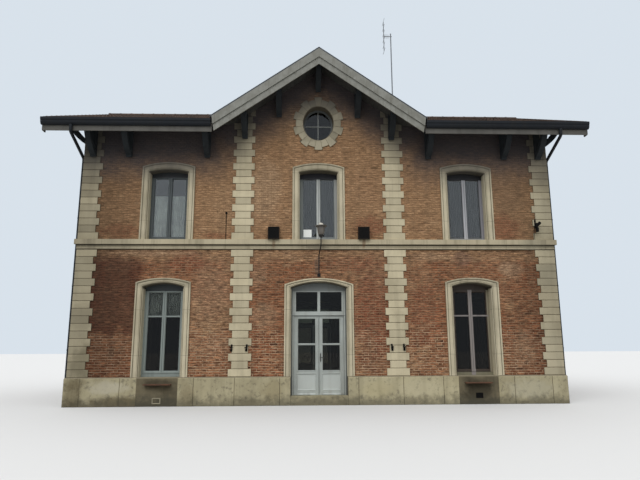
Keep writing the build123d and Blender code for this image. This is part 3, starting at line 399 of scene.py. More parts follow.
# Brickwork. Walls one and a half bricks thick in Flemish bond, laid in lime mortar: soft red
# bricks that have weathered back on the ground storey, and tan ones above the string course.
def red_corner(place):
    """1 in the deep red patch left of the left ground window, 0 elsewhere."""
    x, y, z = split(place)
    across = ramp(noise(place, 0.9, 3.0) * 1.6 + x, -4.6, -3.9, 1.0, 0.0)
    up = noise(place, 1.7, 4.0) * 0.9 + z
    return across * ramp(up, 4.35, 4.7, 1.0, 0.0) * ramp(up, 2.35, 2.60, 0.25, 1.0) * ramp(y, -3.6, -3.4, 1.0, 0.0)


red, deep_red, tan = (0.235, 0.074, 0.040), (0.15, 0.048, 0.029), (0.50, 0.34, 0.215)
brick_marks = (
    (-5.60, 3.90, 0.40, 0.24, tan, 0.36), (-3.10, 3.10, 0.70, 1.00, tan, 0.36), (-3.75, 4.02, 0.60, 0.32, red, 0.75),
    (-3.00, 1.60, 0.80, 0.35, tan, 0.22), (-1.55, 2.45, 0.45, 0.42, tan, 0.42), (-1.75, 3.60, 0.30, 0.50, tan, 0.30),
    (1.50, 2.60, 0.75, 1.60, red, 0.75), (0.90, 3.95, 1.10, 0.28, red, 0.50), (1.55, 1.30, 0.50, 0.45, deep_red, 0.35),
    (3.00, 2.60, 0.50, 1.20, red, 0.50), (4.20, 4.08, 0.30, 0.26, (0.17, 0.10, 0.09), 0.55),
    (5.60, 3.75, 0.45, 0.26, tan, 0.80),
    (5.20, 3.15, 0.35, 0.35, red, 0.40), (5.85, 1.50, 0.35, 0.60, tan, 0.35), (3.20, 4.15, 0.60, 0.15, tan, 0.40),
    (-4.80, 4.24, 1.40, 0.10, tan, 0.55),
    # The grey upright mark over the door, behind the lamp's arm, is partly rust and partly painted shadow of the arm.
    (-0.06, 3.87, 0.09, 0.32, (0.17, 0.13, 0.105), 0.70), (-3.40, 4.235, 0.10, 0.025, (0.02, 0.016, 0.014), 0.9),
    (-5.70, 4.88, 0.80, 0.24, red, 0.45), (-3.00, 4.75, 0.50, 0.10, red, 0.45),
    (-1.60, 6.10, 0.60, 1.10, (0.50, 0.35, 0.22), 0.50), (1.55, 5.05, 0.55, 0.36, red, 0.60),
    (1.50, 6.20, 0.40, 0.70, (0.30, 0.17, 0.095), 0.30), (5.45, 5.00, 0.60, 0.50, red, 0.60),
    (5.50, 6.10, 0.75, 0.90, (0.17, 0.115, 0.075), 0.45), (-2.75, 5.60, 0.40, 0.90, (0.47, 0.31, 0.18), 0.25))


def brick_colours(place, colour, lift, mask):
    """Brick by brick colour: red below the string course and tan above, in patches of both."""
    height = split(place)[2]
    ramps = []
    for steps in (
        ((0.0, (0.065, 0.022, 0.012)), (0.3, (0.195, 0.066, 0.030)), (0.6, (0.285, 0.106, 0.049)),
         (0.85, (0.36, 0.162, 0.080)), (1.0, (0.44, 0.25, 0.14))),
        ((0.0, (0.16, 0.090, 0.047)), (0.35, (0.335, 0.195, 0.103)), (0.7, (0.405, 0.240, 0.130)),
         (1.0, (0.50, 0.32, 0.185))),
    ):
        made = add_node(place.tree, "ValToRGB", {0: face_tone(place.tree)})
        while len(made.color_ramp.elements) < len(steps):
            made.color_ramp.elements.new(0.5)
        for element, (where, shade) in zip(made.color_ramp.elements, steps):
            element.position = where
            element.color = (*shade, 1)
        ramps.append(Value(made.outputs[0]))
    upper = ramp(height, 4.3, 4.4)
    tanned = most(upper, ramp(noise(place, 0.55, 3.0), 0.50, 0.62, 0.0, 0.85),
                  ramp(noise(place, 3.0, 3.0) * 0.35 + height, 4.10, 4.26, 0.0, 0.95))
    colour = mix(mask["Patches"] * 0.24, mix(tanned, *ramps), (0.38, 0.24, 0.13))
    colour, lift = ragged_marks(brick_marks)(place, colour, lift, mask)
    west = red_corner(place) * 0.76
    colour = mix(west, colour, (0.095, 0.033, 0.020))
    flat = stretched(place, 5.0)
    worn = ramp(noise(flat, 2.2, 6.0, 0.75), 0.47, 0.62, 0.0, 0.62) * ramp(height, 4.2, 5.9, 1.0, 0.16)
    colour = mix(worn, colour, (0.115, 0.045, 0.025))
    smeared = ramp(noise(flat, 7.0, 5.0, 0.7), 0.50, 0.64, 0.0, 0.55) * ramp(height, 4.3, 4.4, 1.0, 0.35)
    colour = mix(smeared * (west * -1.15 + 1.0), colour, (0.42, 0.27, 0.15))
    skin = noise(flat, 5.5, 5.0, 0.75)
    skin = mix(upper, ramp(skin, 0.41, 0.61, 0.45, 1.45), ramp(skin, 0.41, 0.60, 0.62, 1.28))
    return mix(mask["Streaks"] * 0.28, scaled(colour, skin), (0.12, 0.08, 0.05)), lift


def room_side(place, colour, lift, mask):
    """Mortar outside, pale on the ground storey; old plaster on the faces towards the rooms."""
    x, y, z = split(place)
    flat = stretched(place, 5.0)
    colour = mix(ramp(noise(flat, 3.3, 6.0, 0.75), 0.44, 0.60, 0.0, 0.55), colour, (0.12, 0.055, 0.032))
    pale = ramp(noise(place, 1.6, 4.0) * 1.2 + z, 2.45, 2.85, 0.85, 0.20)
    broken = ramp(noise(flat, 5.0, 6.0, 0.75), 0.42, 0.60, 0.15, 1.15)
    colour = mix(pale * broken, colour, (0.60, 0.43, 0.285))
    colour = mix(ramp(z, 4.3, 4.4), colour, (0.30, 0.19, 0.105))
    colour = mix(red_corner(place) * 0.8, colour, (0.12, 0.055, 0.035))
    deep = most(ramp(abs(x), 6.45, 6.70), ramp(abs(y), 3.56, 3.80))
    return mix(deep, (0.16, 0.155, 0.14), colour), lift


brick_finish = finish(
    "brick", (0.3, 0.2, 0.1), (0.2, 0.1, 0.05), (0.1, 0.07, 0.05), size=0.8, grain=90, relief=0.8, depth=0.006,
    soot_and_shade=0.90, foot=0.3, ends=0.47, shine=0.2, change=brick_colours)
mortar_finish = finish(
    "lime mortar", (0.33, 0.195, 0.11), (0.21, 0.122, 0.068), (0.13, 0.078, 0.045), size=0.9, grain=120, relief=0.9,
    depth=0.006, soot_and_shade=0.90, foot=0.3, ends=0.47, shine=0.2, change=room_side)
dress("long_ground_walls door_head_walls end_ground_walls front_upper_wall rear_upper_wall end_upper_walls "
      "front_gable_wall rear_gable_wall end_gable_walls", mortar_finish)

plinth_top, band_low, band_top, course = 0.775, 4.345, 4.635, 0.070
stretcher, header, joint = 0.222, 0.105, 0.010
ridge, main_pitch, cross_pitch, slab = 10.185, np.radians(24.4), np.radians(35.0), 0.170
main_under, cross_under = ridge - slab / np.cos(main_pitch), ridge - slab / np.cos(cross_pitch)
corner_face, end_face, pier_place = 6.920, 4.020, 2.215
corner_widths = {True: (0.570, 0.480), False: (0.480, 0.570)}
pier_widths, oval_ring, past_corner = (0.3175, 0.2275), 0.225, 9.0
brick_top, shortest_course, shortest_run, shortest_brick = 9.95, 0.1, 0.06, 0.035
linings = {"ground": (0.775, plinth_top, 3.400, 3.523), "upper": (0.770, band_top, 6.835, 6.965),
           "door": (0.985, plinth_top, 3.335, 3.514)}
openings = {"front": [("ground", -4.420), ("ground", 4.420), ("door", 0.0),
                      ("upper", -4.415), ("upper", 0.0), ("upper", 4.415)],
            "left": [(storey, place) for storey in ("ground", "upper") for place in (-2.0, 2.0)]}
openings["rear"], openings["right"] = openings["front"], openings["left"]
oval_height, oval_wide, oval_high = 8.235, 0.455, 0.540
quoin_columns = {
    "ground": (plinth_top, band_low, 17),
    "corner": (band_top, main_under - np.tan(main_pitch) * half_depth, 17),
    "pier": (band_top, cross_under - np.tan(cross_pitch) * (pier_place - pier_widths[0]), 19)}


def arc_radius(half, rise):
    """The radius of an arc from half its chord and its rise."""
    return (half**2 + rise**2) / (2 * rise)


def half_opening(lining, low, high):
    """Half the width that a stone lining takes from a course: its jambs, then the chord of its arc
    at the top of the course, so that the bricks run in behind the stone."""
    half, bottom, springing, crown = linings[lining]
    radius = arc_radius(half, crown - springing)
    if high <= bottom or high >= crown:
        return 0.0
    return half if high <= springing else np.sqrt(radius**2 - (high - crown + radius)**2)


def quoin_edge(column, height, widths):
    """The wide or narrow width of a toothed column at a height."""
    low, high, count = quoin_columns[column]
    return widths[int((height - low) / (high - low) * count) % 2]


def blocked(wall, low, high):
    """The stretches of a course that stone takes: quoins, linings and the oval window's ring."""
    middle, long_wall = (low + high) / 2, wall in ("front", "rear")
    storey, taken = "ground" if middle < band_low else "", []
    if middle < quoin_columns["corner"][1]:
        face = corner_face if long_wall else end_face
        corner = face - quoin_edge(storey or "corner", middle, corner_widths[long_wall])
        taken += [(-past_corner, -corner), (corner, past_corner)]
    for lining, place in openings[wall]:
        half = half_opening(lining, low, high)
        if half:
            taken.append((place - half, place + half))
    if long_wall:
        if middle < quoin_columns["pier"][1]:
            pier = quoin_edge(storey or "pier", middle, pier_widths)
            taken += [(side * pier_place - pier, side * pier_place + pier) for side in (-1, 1)]
        away = max(abs(low - oval_height), abs(high - oval_height)) / (oval_high + oval_ring)
        if away < 1:
            ring = (oval_wide + oval_ring) * np.sqrt(1 - away**2)
            taken.append((-ring, ring))
    return sorted(taken)


def roof_limit(wall, height):
    """How far from a wall's middle the roof lets the masonry run at a height."""
    main = (main_under - height) / np.tan(main_pitch)
    if wall in ("left", "right"):
        return min(main, end_face)
    return corner_face if main > half_depth else min((cross_under - height) / np.tan(cross_pitch), corner_face)


def lay_bricks(wall):
    """All the bricks of a wall as spans: a stretcher and a header in turn, each course shifted by
    half of that, cut at both ends of each free run."""
    spans, unit = [], stretcher + header + 2 * joint
    for storey_low, storey_high, wide_joint in ((plinth_top, band_low, 0.017), (band_top, brick_top, joint)):
        for number in range(int(round((storey_high - storey_low) / course))):
            low = storey_low + number * course
            limit = roof_limit(wall, low)
            if limit < shortest_course:
                continue
            edges = [-past_corner, *np.ravel(blocked(wall, low, low + course)), past_corner]
            for start, end in zip(edges[0::2], edges[1::2]):
                start, end = max(start, -limit), min(end, limit)
                if end - start < shortest_run:
                    continue
                first = np.arange(np.floor(start / unit) - 1, np.ceil(end / unit) + 1) * unit + number % 2 * unit / 2
                left = np.stack([first, first + stretcher + joint], 1).ravel()
                right = np.stack([first + stretcher, first + unit - joint], 1).ravel()
                left, right = np.maximum(left, start), np.minimum(right, end)
                kept = right - left > shortest_brick
                left, right = left[kept], right[kept]
                left[0], right[-1] = start + joint / 2, end - joint / 2
                flat = 0 * left + wide_joint / 2
                spans.append(np.stack([left, right, low + flat, low + course - flat], 1))
    return np.concatenate(spans)


for wall in walls:
    spans = lay_bricks(wall)
    count = len(spans)
    ground = spans[:, 2] < band_low
    spans = spans + chance.normal(0, 1, (count, 4)) * np.where(ground, 0.0026, 0.0012)[:, None]
    eroded = chance.random(count) < np.where(ground, 0.10, 0.02)
    proud = 0.0065 + chance.normal(0, 0.0014, count) - eroded * 0.005
    tone = np.clip(chance.normal(0.54, np.where(ground, 0.17, 0.13), count) - 0.30 * eroded, 0, 1)
    shape = stepped(wall, spans, [(0, -0.004), (0.0015, proud * 0.7), (0.005, np.maximum(proud, 0.0006))])
    make_piece(f"{wall}_bricks", shape, brick_finish, tone=tone)


# Dressed stone. Long and short quoins at the corners and on the two piers, jambs and segmental
# arches round the openings, and a moulded string course, all of the same soft limestone.
# This dark colour paints shade together with dirt: under the string course's slab, on the arches, in the grooves of the
# mouldings and under the arches' soffits.
lining_joints, shade_and_grime = (1.36, 2.62, 3.26, 5.20, 6.66), (0.045, 0.038, 0.026)


def joints_at(heights, every=0.0, shade=()):
    """Thin dark joints at heights, and upright ones at an even distance along each wall. A shade is a band of painted
    shade with grime: a middle height, half its width, how dark it is, and how far out along the wall it starts."""
    def change(place, colour, lift, mask):
        x, y, z = split(place)
        lines = most(0.0, *[maths("COMPARE", z, height, 0.004) for height in heights])
        if every:
            joins = [maths("FRACT", along * (1 / every) + shift) < 0.007 for along, shift in ((x, 0.31), (y, 0.42))]
            lines = most(lines, *joins)
        colour = mix(lines * 0.6, colour, (0.09, 0.08, 0.06))
        for middle, half, dark, beyond in shade:
            share = ramp(abs(z - middle), 0.6 * half, half, dark, 0.0) * (abs(x) > beyond)
            colour = mix(share, colour, shade_and_grime)
        return colour, lift
    return change


def grooved(place, colour, lift, mask):
    """Stone between the mouldings is painted darker, as shade in the grooves with dirt; so is the arch over an opening
    seen from below, as painted shade with soot. The jambs inside the opening keep this finish's light colour, painted
    lighter than the linings to cancel the shade in the opening."""
    colour, lift = joints_at(lining_joints)(place, colour, lift, mask)
    x, y, z = split(place)
    outside = most(abs(y) > 4.012, abs(x) > 6.912)
    under = most(maths("COMPARE", z, 3.31, 0.09), maths("COMPARE", z, 6.71, 0.06)) * (1.0 - outside)
    return mix(most(outside * 0.62, under * 0.88), colour, shade_and_grime), lift


stone_marks = (
    (-6.50, 1.15, 0.45, 0.55, (0.20, 0.175, 0.105), 0.55), (-6.60, 2.40, 0.40, 0.50, (0.30, 0.27, 0.19), 0.35),
    (6.62, 3.60, 0.40, 0.50, (0.33, 0.31, 0.23), 0.3), (6.60, 1.40, 0.40, 0.90, (0.66, 0.60, 0.44), 0.35),
    (6.60, 5.40, 0.40, 0.70, (0.70, 0.64, 0.46), 0.35))
band_marks = (
    (-1.31, 4.52, 0.06, 0.16, (0.20, 0.11, 0.06), 0.55), (1.31, 4.52, 0.06, 0.18, (0.20, 0.11, 0.06), 0.6),
    (6.30, 4.50, 0.50, 0.20, (0.36, 0.33, 0.24), 0.4), (-0.05, 4.42, 0.40, 0.10, (0.15, 0.13, 0.10), 0.5))
# The band shade paints shade under the top slab of the string course and along its lower moulding, where grime also
# lies.
band_shade = ((4.470, 0.026, 0.85, 0.0), (4.415, 0.010, 0.5, 0.0), (4.352, 0.018, 0.9, 0.0))
stone_finish = finish(
    "dressed stone", (0.60, 0.535, 0.375), (0.45, 0.395, 0.27), (0.26, 0.23, 0.16), grain=70, toned=0.16, soot_and_shade=0.66,
    relief=0.4, streaked=0.3, ends=0.40, change=ragged_marks(stone_marks))
# On the linings the moulded arches are painted darker, as shade with grime: over the upper windows, and over the ground
# floor windows but not the door.
lining_finish = finish(
    "stone linings", (0.62, 0.56, 0.41), (0.48, 0.43, 0.305), (0.25, 0.225, 0.16), grain=70, soot_and_shade=0.85, size=1.7,
    streaked=0.4, ends=0.45, change=joints_at(lining_joints, 0.0, ((3.46, 0.22, 0.28, 2.0), (6.88, 0.20, 0.28, 0.0))))
# The reveals are painted lighter than the linings, as painted light against the shade inside the openings; grooved
# paints shade back into the grooves and under the arches.
reveal_finish = finish(
    "stone reveals", (0.66, 0.60, 0.44), (0.54, 0.49, 0.35), (0.28, 0.25, 0.18), grain=70, soot_and_shade=0.7, size=1.7,
    streaked=0.3, ends=0.35, change=grooved)
band_finish = finish(
    "string course stone", (0.54, 0.48, 0.34), (0.42, 0.37, 0.255), (0.17, 0.145, 0.10), grain=70, run=4.0,
    ends=0.3, change=ragged_marks(band_marks, joints_at((), 1.17, band_shade)))
# The joints round the quoins and the oval window's stones are dark: mortar, with painted shade in their recess.
joint_finish = finish("quoin mortar", (0.16, 0.135, 0.09), (0.11, 0.09, 0.06), (0.07, 0.06, 0.04), grain=90, soot_and_shade=0.6)
dress("ground_window_surrounds upper_window_surrounds door_surrounds", reveal_finish)
dress("string_courses end_string_courses", band_finish)
dress("corner_quoins pier_quoins oculus_surrounds", joint_finish)

for wall in walls:
    long_wall = wall in ("front", "rear")
    face = corner_face if long_wall else end_face
    spans = []
    for column in ("ground", "corner", "pier"):
        low, high, count = quoin_columns[column]
        step = (high - low) / count
        for number in range(count):
            base, top = low + number * step, low + (number + 1) * step
            if column != "pier":
                width = corner_widths[long_wall][number % 2]
                spans += [(-face - 0.006, width - face, base, top), (face - width, face + 0.006, base, top)]
            if long_wall and column != "corner":
                half, limit = pier_widths[number % 2], (cross_under - (base + top) / 2) / np.tan(cross_pitch)
                left, right = pier_place - half, min(pier_place + half, limit)
                if right - left > 0.05:
                    spans += [(left, right, base, top), (-right, -left, base, top)]
    spans = np.array(spans) + [0.0, 0.0, 0.007, -0.007]
    shape = stepped(wall, spans, [(0, 0.014), (0, 0.0225), (0.003, 0.0275), (0.009, 0.030)])
    make_piece(f"{wall}_quoins", shape, stone_finish, tone=chance.normal(0.5, 0.3, len(spans)))


def arch_path(arch, inset):
    """Places along an arched outline and up, from one foot over the arch to the other, at one
    distance inside it. The arc keeps its centre, so its radius gets shorter by that distance."""
    half, bottom, springing, crown = arch
    radius = arc_radius(half, crown - springing)
    centre, inner = crown - radius, radius - inset
    side = half - inset
    spread = np.linspace(-1, 1, 15) * np.arcsin(side / inner)
    along = np.concatenate([[-side], inner * np.sin(spread), [side]])
    return along, np.concatenate([[bottom + 0.001], centre + inner * np.cos(spread), [bottom + 0.001]])


other_way = [0, 3, 2, 1]


def quads(grid, order=(0, 1, 2, 3)):
    """Faces between the rows and the columns of a grid of point numbers: the four numbers round
    each place in turn, along its row first, or the other way round to face the other side."""
    corners = [grid[..., :-1, :-1], grid[..., :-1, 1:], grid[..., 1:, 1:], grid[..., 1:, :-1]]
    return np.stack([corners[number] for number in order], -1).reshape(-1, 4)


def moulding_run(wall, middle, section):
    """A moulding: each point of its section is an outline, a distance inside it and a height off
    the wall, and is carried along that outline."""
    rows = []
    for arch, inset, rise in section:
        along, height = arch_path(arch, inset)
        rows.append(on_wall(wall, middle + along, rise + 0 * along, height))
    points = np.stack(rows)
    return points.reshape(-1, 3), quads(np.arange(points[..., 0].size).reshape(points.shape[:2]))


clear = {"ground": (0.565, plinth_top, 3.268, 3.370), "upper": (0.560, band_top, 6.670, 6.740),
         "door": (0.795, plinth_top, 3.237, 3.396)}
for wall in walls:
    runs = []
    for lining, middle in openings[wall]:
        outer, inner = linings[lining], clear[lining]
        for section in (
            ((outer, -0.0006, 0.030), (outer, -0.0006, 0.046), (outer, 0.004, 0.051), (outer, 0.018, 0.053),
             (outer, 0.034, 0.051), (outer, 0.041, 0.045)),
            ((outer, 0.060, 0.0303), (outer, 0.062, 0.038), (outer, 0.070, 0.041), (inner, -0.064, 0.041),
             (inner, -0.057, 0.038), (inner, -0.055, 0.0303)),
            ((inner, -0.047, 0.0303), (inner, -0.047, 0.041), (inner, -0.041, 0.046), (inner, -0.033, 0.046),
             (inner, -0.0285, 0.041), (inner, -0.0285, 0.0303)),
        ):
            runs.append(moulding_run(wall, middle, section))
    make_piece(f"{wall}_surround_mouldings", gathered(runs), lining_finish)


def oval_stones(wall):
    """The ring of wedge stones round the oval window. Each is a section, out from the wall and
    away from the opening, carried along an arc of the oval between two joints."""
    count, steps = 20, 5
    middle = np.pi / 2 + 2 * np.pi / count * np.arange(count)
    sweep = np.linspace(-1, 1, steps) * (np.pi / count - 0.0075)
    angle = (middle[:, None] + sweep)[:, :, None]
    reach = np.where(np.arange(count) % 2 == 0, 0.305, oval_ring)[:, None, None]
    edge = 0 * reach
    away = np.concatenate([reach + 0.004, reach + 0.004, reach, edge + 0.030, edge + 0.004, edge + 0.002], 2)
    out = np.array([0.010, 0.032, 0.038, 0.038, 0.024, -0.120])[None, None]
    along, height = (oval_wide + away) * np.cos(angle), oval_height + (oval_high + away) * np.sin(angle)
    points = on_wall(wall, along, out + 0 * along, height)
    grid = np.arange(count * steps * 6).reshape(count, steps, 6)
    ends = [grid[:, 0, (0, 1, 2, 3)], grid[:, 0, (0, 3, 4, 5)], grid[:, -1, (3, 2, 1, 0)], grid[:, -1, (5, 4, 3, 0)]]
    return points.reshape(-1, 3), np.concatenate([quads(grid, other_way)] + ends)


# On the oval window's ring the dark mark at the top is painted shade under the eaves, and the pale mark at the bottom
# is painted light.
oval_marks = ((0.0, 7.45, 0.75, 0.30, (0.50, 0.455, 0.335), 0.6), (0.0, 8.95, 0.55, 0.35, (0.17, 0.155, 0.12), 0.5))
oval_finish = finish(
    "oval window stones", (0.37, 0.335, 0.245), (0.27, 0.245, 0.18), (0.15, 0.135, 0.10), grain=70, toned=0.24,
    soot_and_shade=0.75, streaked=0.3, size=3.0, change=ragged_marks(oval_marks))
for wall in ("front", "rear"):
    tone = np.concatenate([np.repeat(chance.normal(0.62, 0.2, 20), 20), np.full(80, 0.5)])
    make_piece(f"{wall}_oval_stones", oval_stones(wall), oval_finish, tone=tone)


# Windows. Pairs of painted casements with a wide meeting stile, each sash with its own rails and
# putty line; the ground floor sashes have one bar. Their paint differs from window to window.
def by_place(choices):
    """The paint of a window by where it is, with painted shade on some: x from, x to, height from, height to, and a
    colour.
    """
    def change(place, colour, lift, mask):
        x, y, z = split(place)
        for start, end, low, high, shade in choices:
            inside = (y < -2.0) * (x > start) * (x < end) * (z > low) * (z < high)
            worn = mix(mask["Streaks"] * 0.5, shade, tuple(part * 0.55 for part in shade))
            colour = mix(inside, colour, worn)
        return colour, lift
    return change


# The head of the left ground window above its glass is painted dark, as painted shade under its arch; the heads of the
# upper windows above their glass are near black.
paints_and_shades = (
    (-5.4, -3.4, 0.7, 3.5, (0.25, 0.29, 0.28)), (-5.4, -3.4, 3.17, 3.5, (0.05, 0.058, 0.060)),
    (3.4, 5.4, 0.7, 3.5, (0.050, 0.036, 0.027)), (4.90, 5.0, 0.7, 3.2, (0.26, 0.235, 0.17)),
    (3.4, 5.4, 0.7, 0.86, (0.20, 0.185, 0.125)), (4.36, 4.48, 0.7, 3.2, (0.27, 0.245, 0.235)),
    (3.9, 4.94, 2.425, 2.470, (0.25, 0.23, 0.22)), (-5.4, -3.4, 4.5, 7.0, (0.085, 0.10, 0.105)),
    (-5.4, -3.4, 6.56, 7.0, (0.03, 0.033, 0.036)), (-0.8, 0.8, 4.5, 6.54, (0.18, 0.20, 0.20)),
    (-0.056, 0.056, 4.5, 6.54, (0.52, 0.55, 0.54)), (-0.8, 0.8, 6.54, 7.0, (0.018, 0.018, 0.022)),
    (3.4, 5.4, 4.5, 6.54, (0.10, 0.105, 0.11)), (4.88, 5.0, 4.5, 6.54, (0.24, 0.24, 0.27)),
    (0.48, 0.60, 4.5, 6.54, (0.42, 0.44, 0.44)), (4.359, 4.471, 4.5, 6.54, (0.50, 0.51, 0.55)),
    (-0.6, 5.0, 4.5, 4.72, (0.34, 0.36, 0.37)), (3.4, 5.4, 6.54, 7.0, (0.016, 0.016, 0.018)),
    (-0.6, 0.6, 7.5, 9.0, (0.13, 0.14, 0.14)))
window_paint = finish("window paint", (0.30, 0.33, 0.33), (0.22, 0.24, 0.24), (0.13, 0.13, 0.12), rough=0.5, grain=150,
                      relief=0.15, depth=0.001, change=by_place(paints_and_shades))
dress("ground_window_frames upper_window_frames", window_paint)
pane_near, pane_far = 0.055, 0.460
bar_low, bar_high = 2.425, 2.470
glass_rows = {"ground": (0.930, 3.130), "upper": (4.760, 6.540)}
sash = [(-0.062, -0.252), (-0.062, -0.240), (-0.058, -0.236), (-0.012, -0.236), (-0.004, -0.244), (0.008, -0.262),
        (0.008, -0.280)]
for wall in walls:
    panes, bars = [], []
    for storey, middle in openings[wall]:
        if storey in glass_rows:
            low, high = glass_rows[storey]
            for side in (-1, 1):
                left, right = sorted((middle + side * (pane_near - 0.002), middle + side * pane_far))
                panes.append((left, right, low, high))
                if storey == "ground":
                    bars.append((left, right, bar_low, bar_high))
    shape = gathered([stepped(wall, panes, sash, closed=False),
                      stepped(wall, bars, [(0, -0.281), (0, -0.256), (0.006, -0.248)])])
    make_piece(f"{wall}_window_sashes", shape, window_paint)

thin, low, high = 0.011, oval_height - 0.011, oval_height + 0.011
bars = [(-thin, thin, oval_height - 0.482, oval_height + 0.482), (-0.397, -0.010, low, high), (0.010, 0.397, low, high)]
bar_finish = finish("bar paint", (0.42, 0.44, 0.42), (0.3, 0.31, 0.3), (0.2, 0.2, 0.18), rough=0.5, relief=0.1)
for wall in ("front", "rear"):
    shape = stepped(wall, bars, [(0, -0.2815), (0, -0.266), (0.004, -0.260)])
    make_piece(f"{wall}_oval_bars", shape, bar_finish)


def glass(name, bright, dim):
    """Clear glass, tinted dark as painted shade of the rooms behind: what is seen through it is dimmer on the ground
    storey and in bare panes. The upper windows mirror more of the sky, the lower ones only the dark ground in front."""
    material, shader, place = surface(name)
    x, y, z = split(place)
    veiled = most((x < -3.0) * (z > 2.45), z > 4.0)
    mirrored = ramp(z, 4.0, 4.4) * ramp(z, 7.0, 7.5, 1.0, 0.45) * ramp(x, -3.2, -3.0, 1.0, 0.62)
    fill(shader, {"Roughness": 0.02, "IOR": 1.3, "Transmission Weight": 1.0, "Coat IOR": 1.75, "Coat Roughness": 0.02,
                  "Base Color": mix(veiled, dim, bright), "Coat Weight": mirrored})
    return material


dress("window_glass", glass("window glass", (0.62, 0.63, 0.61), (0.09, 0.08, 0.065)))
dress("fanlight_glass left_door_glass right_door_glass", glass("door glass", (0.10, 0.105, 0.11), (0.15, 0.16, 0.13)))


# Net curtains. Sheer cloth gathered on thin rods behind the upper windows, over the lower part
# of one and both panes of the others, and behind the top lights of the left ground window.
def round_rod(path, radius, sides=8):
    """A round rod along a path of points: a circle in the plane square to each stretch, turned
    from the upright or from the X axis, with its ends closed."""
    path = np.asarray(path, float)
    heading = np.gradient(path, axis=0)
    heading /= np.linalg.norm(heading, axis=1, keepdims=True)
    guide = np.where(np.abs(heading[:, 2:]) > 0.9, [[1.0, 0.0, 0.0]], [[0.0, 0.0, 1.0]])
    first = np.cross(heading, guide)
    first /= np.linalg.norm(first, axis=1, keepdims=True)
    second = np.cross(heading, first)
    angle = np.linspace(0, 2 * np.pi, sides, endpoint=False)[None, :, None]
    points = path[:, None] + radius * (np.cos(angle) * first[:, None] + np.sin(angle) * second[:, None])
    grid = np.arange(len(path) * sides).reshape(len(path), sides)
    caps = np.array([(0, 3, 2, 1), (0, 5, 4, 3), (0, 7, 6, 5)])
    faces = [quads(np.hstack([grid, grid[:, :1]])), caps, grid[-1, 0] + caps[:, ::-1]]
    return points.reshape(-1, 3), np.concatenate(faces)


curtain_finish, shader, place = surface("net curtain")
x, y, z = split(place)
woven = maths("SINE", x * 1800.0) * maths("SINE", z * 1800.0)
cloth = mix(ramp(z, 3.5, 4.5), (0.20, 0.22, 0.19), (0.05, 0.055, 0.058))
cloth = mix((x < -3.0) * (z > 4.0), cloth, (0.62, 0.67, 0.62))
cloth = mix(ramp(noise(place, 3.0), 0.3, 0.7, 0.0, 0.3), cloth, (0.03, 0.033, 0.036))
fill(shader, {"Base Color": cloth, "Roughness": ramp(woven, -0.2, 0.4, 0.85, 1.0), "Normal": bump(woven, 0.2, 0.0005)})
half, columns, rows, behind, fold_length = 0.46, 185, 9, -3.655, 0.0575
for name, middle, low, high, fold in (
    ("ground_left", -4.420, 2.450, 3.165, 0.0060), ("upper_left", -4.415, 4.700, 6.020, 0.0050),
    ("upper_centre", 0.0, 4.700, 6.530, 0.0060), ("upper_right", 4.415, 4.700, 6.530, 0.0090)):
    along = np.linspace(-half, half, columns)
    height = np.linspace(high, low, rows)
    spread = np.linspace(0.8, 1.0, rows)[:, None]
    wave = np.sin(2 * np.pi * along / fold_length) * fold * spread * (1 + 0.25 * np.sin(23 * along))
    points = np.stack([middle + along + 0 * wave, behind + wave, height[:, None] + 0 * wave], -1)
    faces = quads(np.arange(rows * columns).reshape(rows, columns), other_way)
    cloth = make_piece(f"{name}_curtain", (points, faces), curtain_finish, smooth=True)
    width = np.linalg.norm(np.diff(points, axis=1), axis=2).sum(1).mean()
    ends = [(middle + side * (half + 0.01), behind, high + 0.004) for side in (-1, 1)]
    rod = make_piece(f"{name}_curtain_rod", round_rod(ends, 0.004), bar_finish)
    high - low


# Doors. Two glazed leaves of painted softwood under a fanlight, opening into the building, with
# a bar across the glass, beads round panes and panel, and a half round strip where they meet.
def door_shades(place, colour, lift, mask):
    """The lower panels are freshly painted. Dark joints run at the top of the leaves and between leaves and frame; the
    dark strips down both outer sides of the frame are painted shadow in the gap to the stone, and the frame's head
    above the fanlight is darker.
    """
    x, y, z = split(place)
    away = abs(x)
    panel = maths("COMPARE", away, 0.350, 0.262) * maths("COMPARE", z, 0.600, 0.245)
    colour = mix(panel * 0.6, colour, (0.56, 0.60, 0.58))
    joint = most(ramp(away, 0.752, 0.762), maths("COMPARE", z, 2.462, 0.007),
                 maths("COMPARE", away, 0.7155, 0.004), ramp(z, 3.150, 3.175) * 0.7)
    return mix(joint * 0.8, colour, (0.04, 0.045, 0.048)), lift


door_paint = finish(
    "door paint", (0.43, 0.47, 0.45), (0.36, 0.39, 0.375), (0.22, 0.21, 0.18), rough=0.45, grain=160, size=2.5,
    foot=0.4, relief=0.12, depth=0.001, shine=0.5, streaked=0.35, change=door_shades)
dress("door_frames left_door_leaf right_door_leaf rear_door_leaves", door_paint)
bead = [(-0.016, -0.271), (-0.016, -0.266), (-0.010, -0.261), (0.002, -0.264), (0.006, -0.272), (0.006, -0.290)]
moulding = [(-0.018, -0.271), (-0.018, -0.264), (-0.010, -0.260), (0.000, -0.266), (0.006, -0.282)]
for body, side in (("left_leaf", -1), ("right_leaf", 1)):
    def leaf_span(near, far, low, high):
        """A span on one leaf, given by its distances from the middle of the doorway."""
        left, right = sorted((side * near, side * far))
        return left, right, low, high
    lights = [leaf_span(0.100, 0.600, 0.924, 1.630), leaf_span(0.100, 0.600, 1.672, 2.379)]
    shape = gathered([
        stepped("front", lights, bead, closed=False),
        stepped("front", [leaf_span(0.100, 0.600, 0.400, 0.830)], moulding, closed=False),
        stepped("front", [leaf_span(0.008, 0.034, 0.330, 2.440)], [(0, -0.271), (0.001, -0.263), (0.006, -0.259)])])
    make_piece(f"{body}_beads", shape, door_paint, body=body)
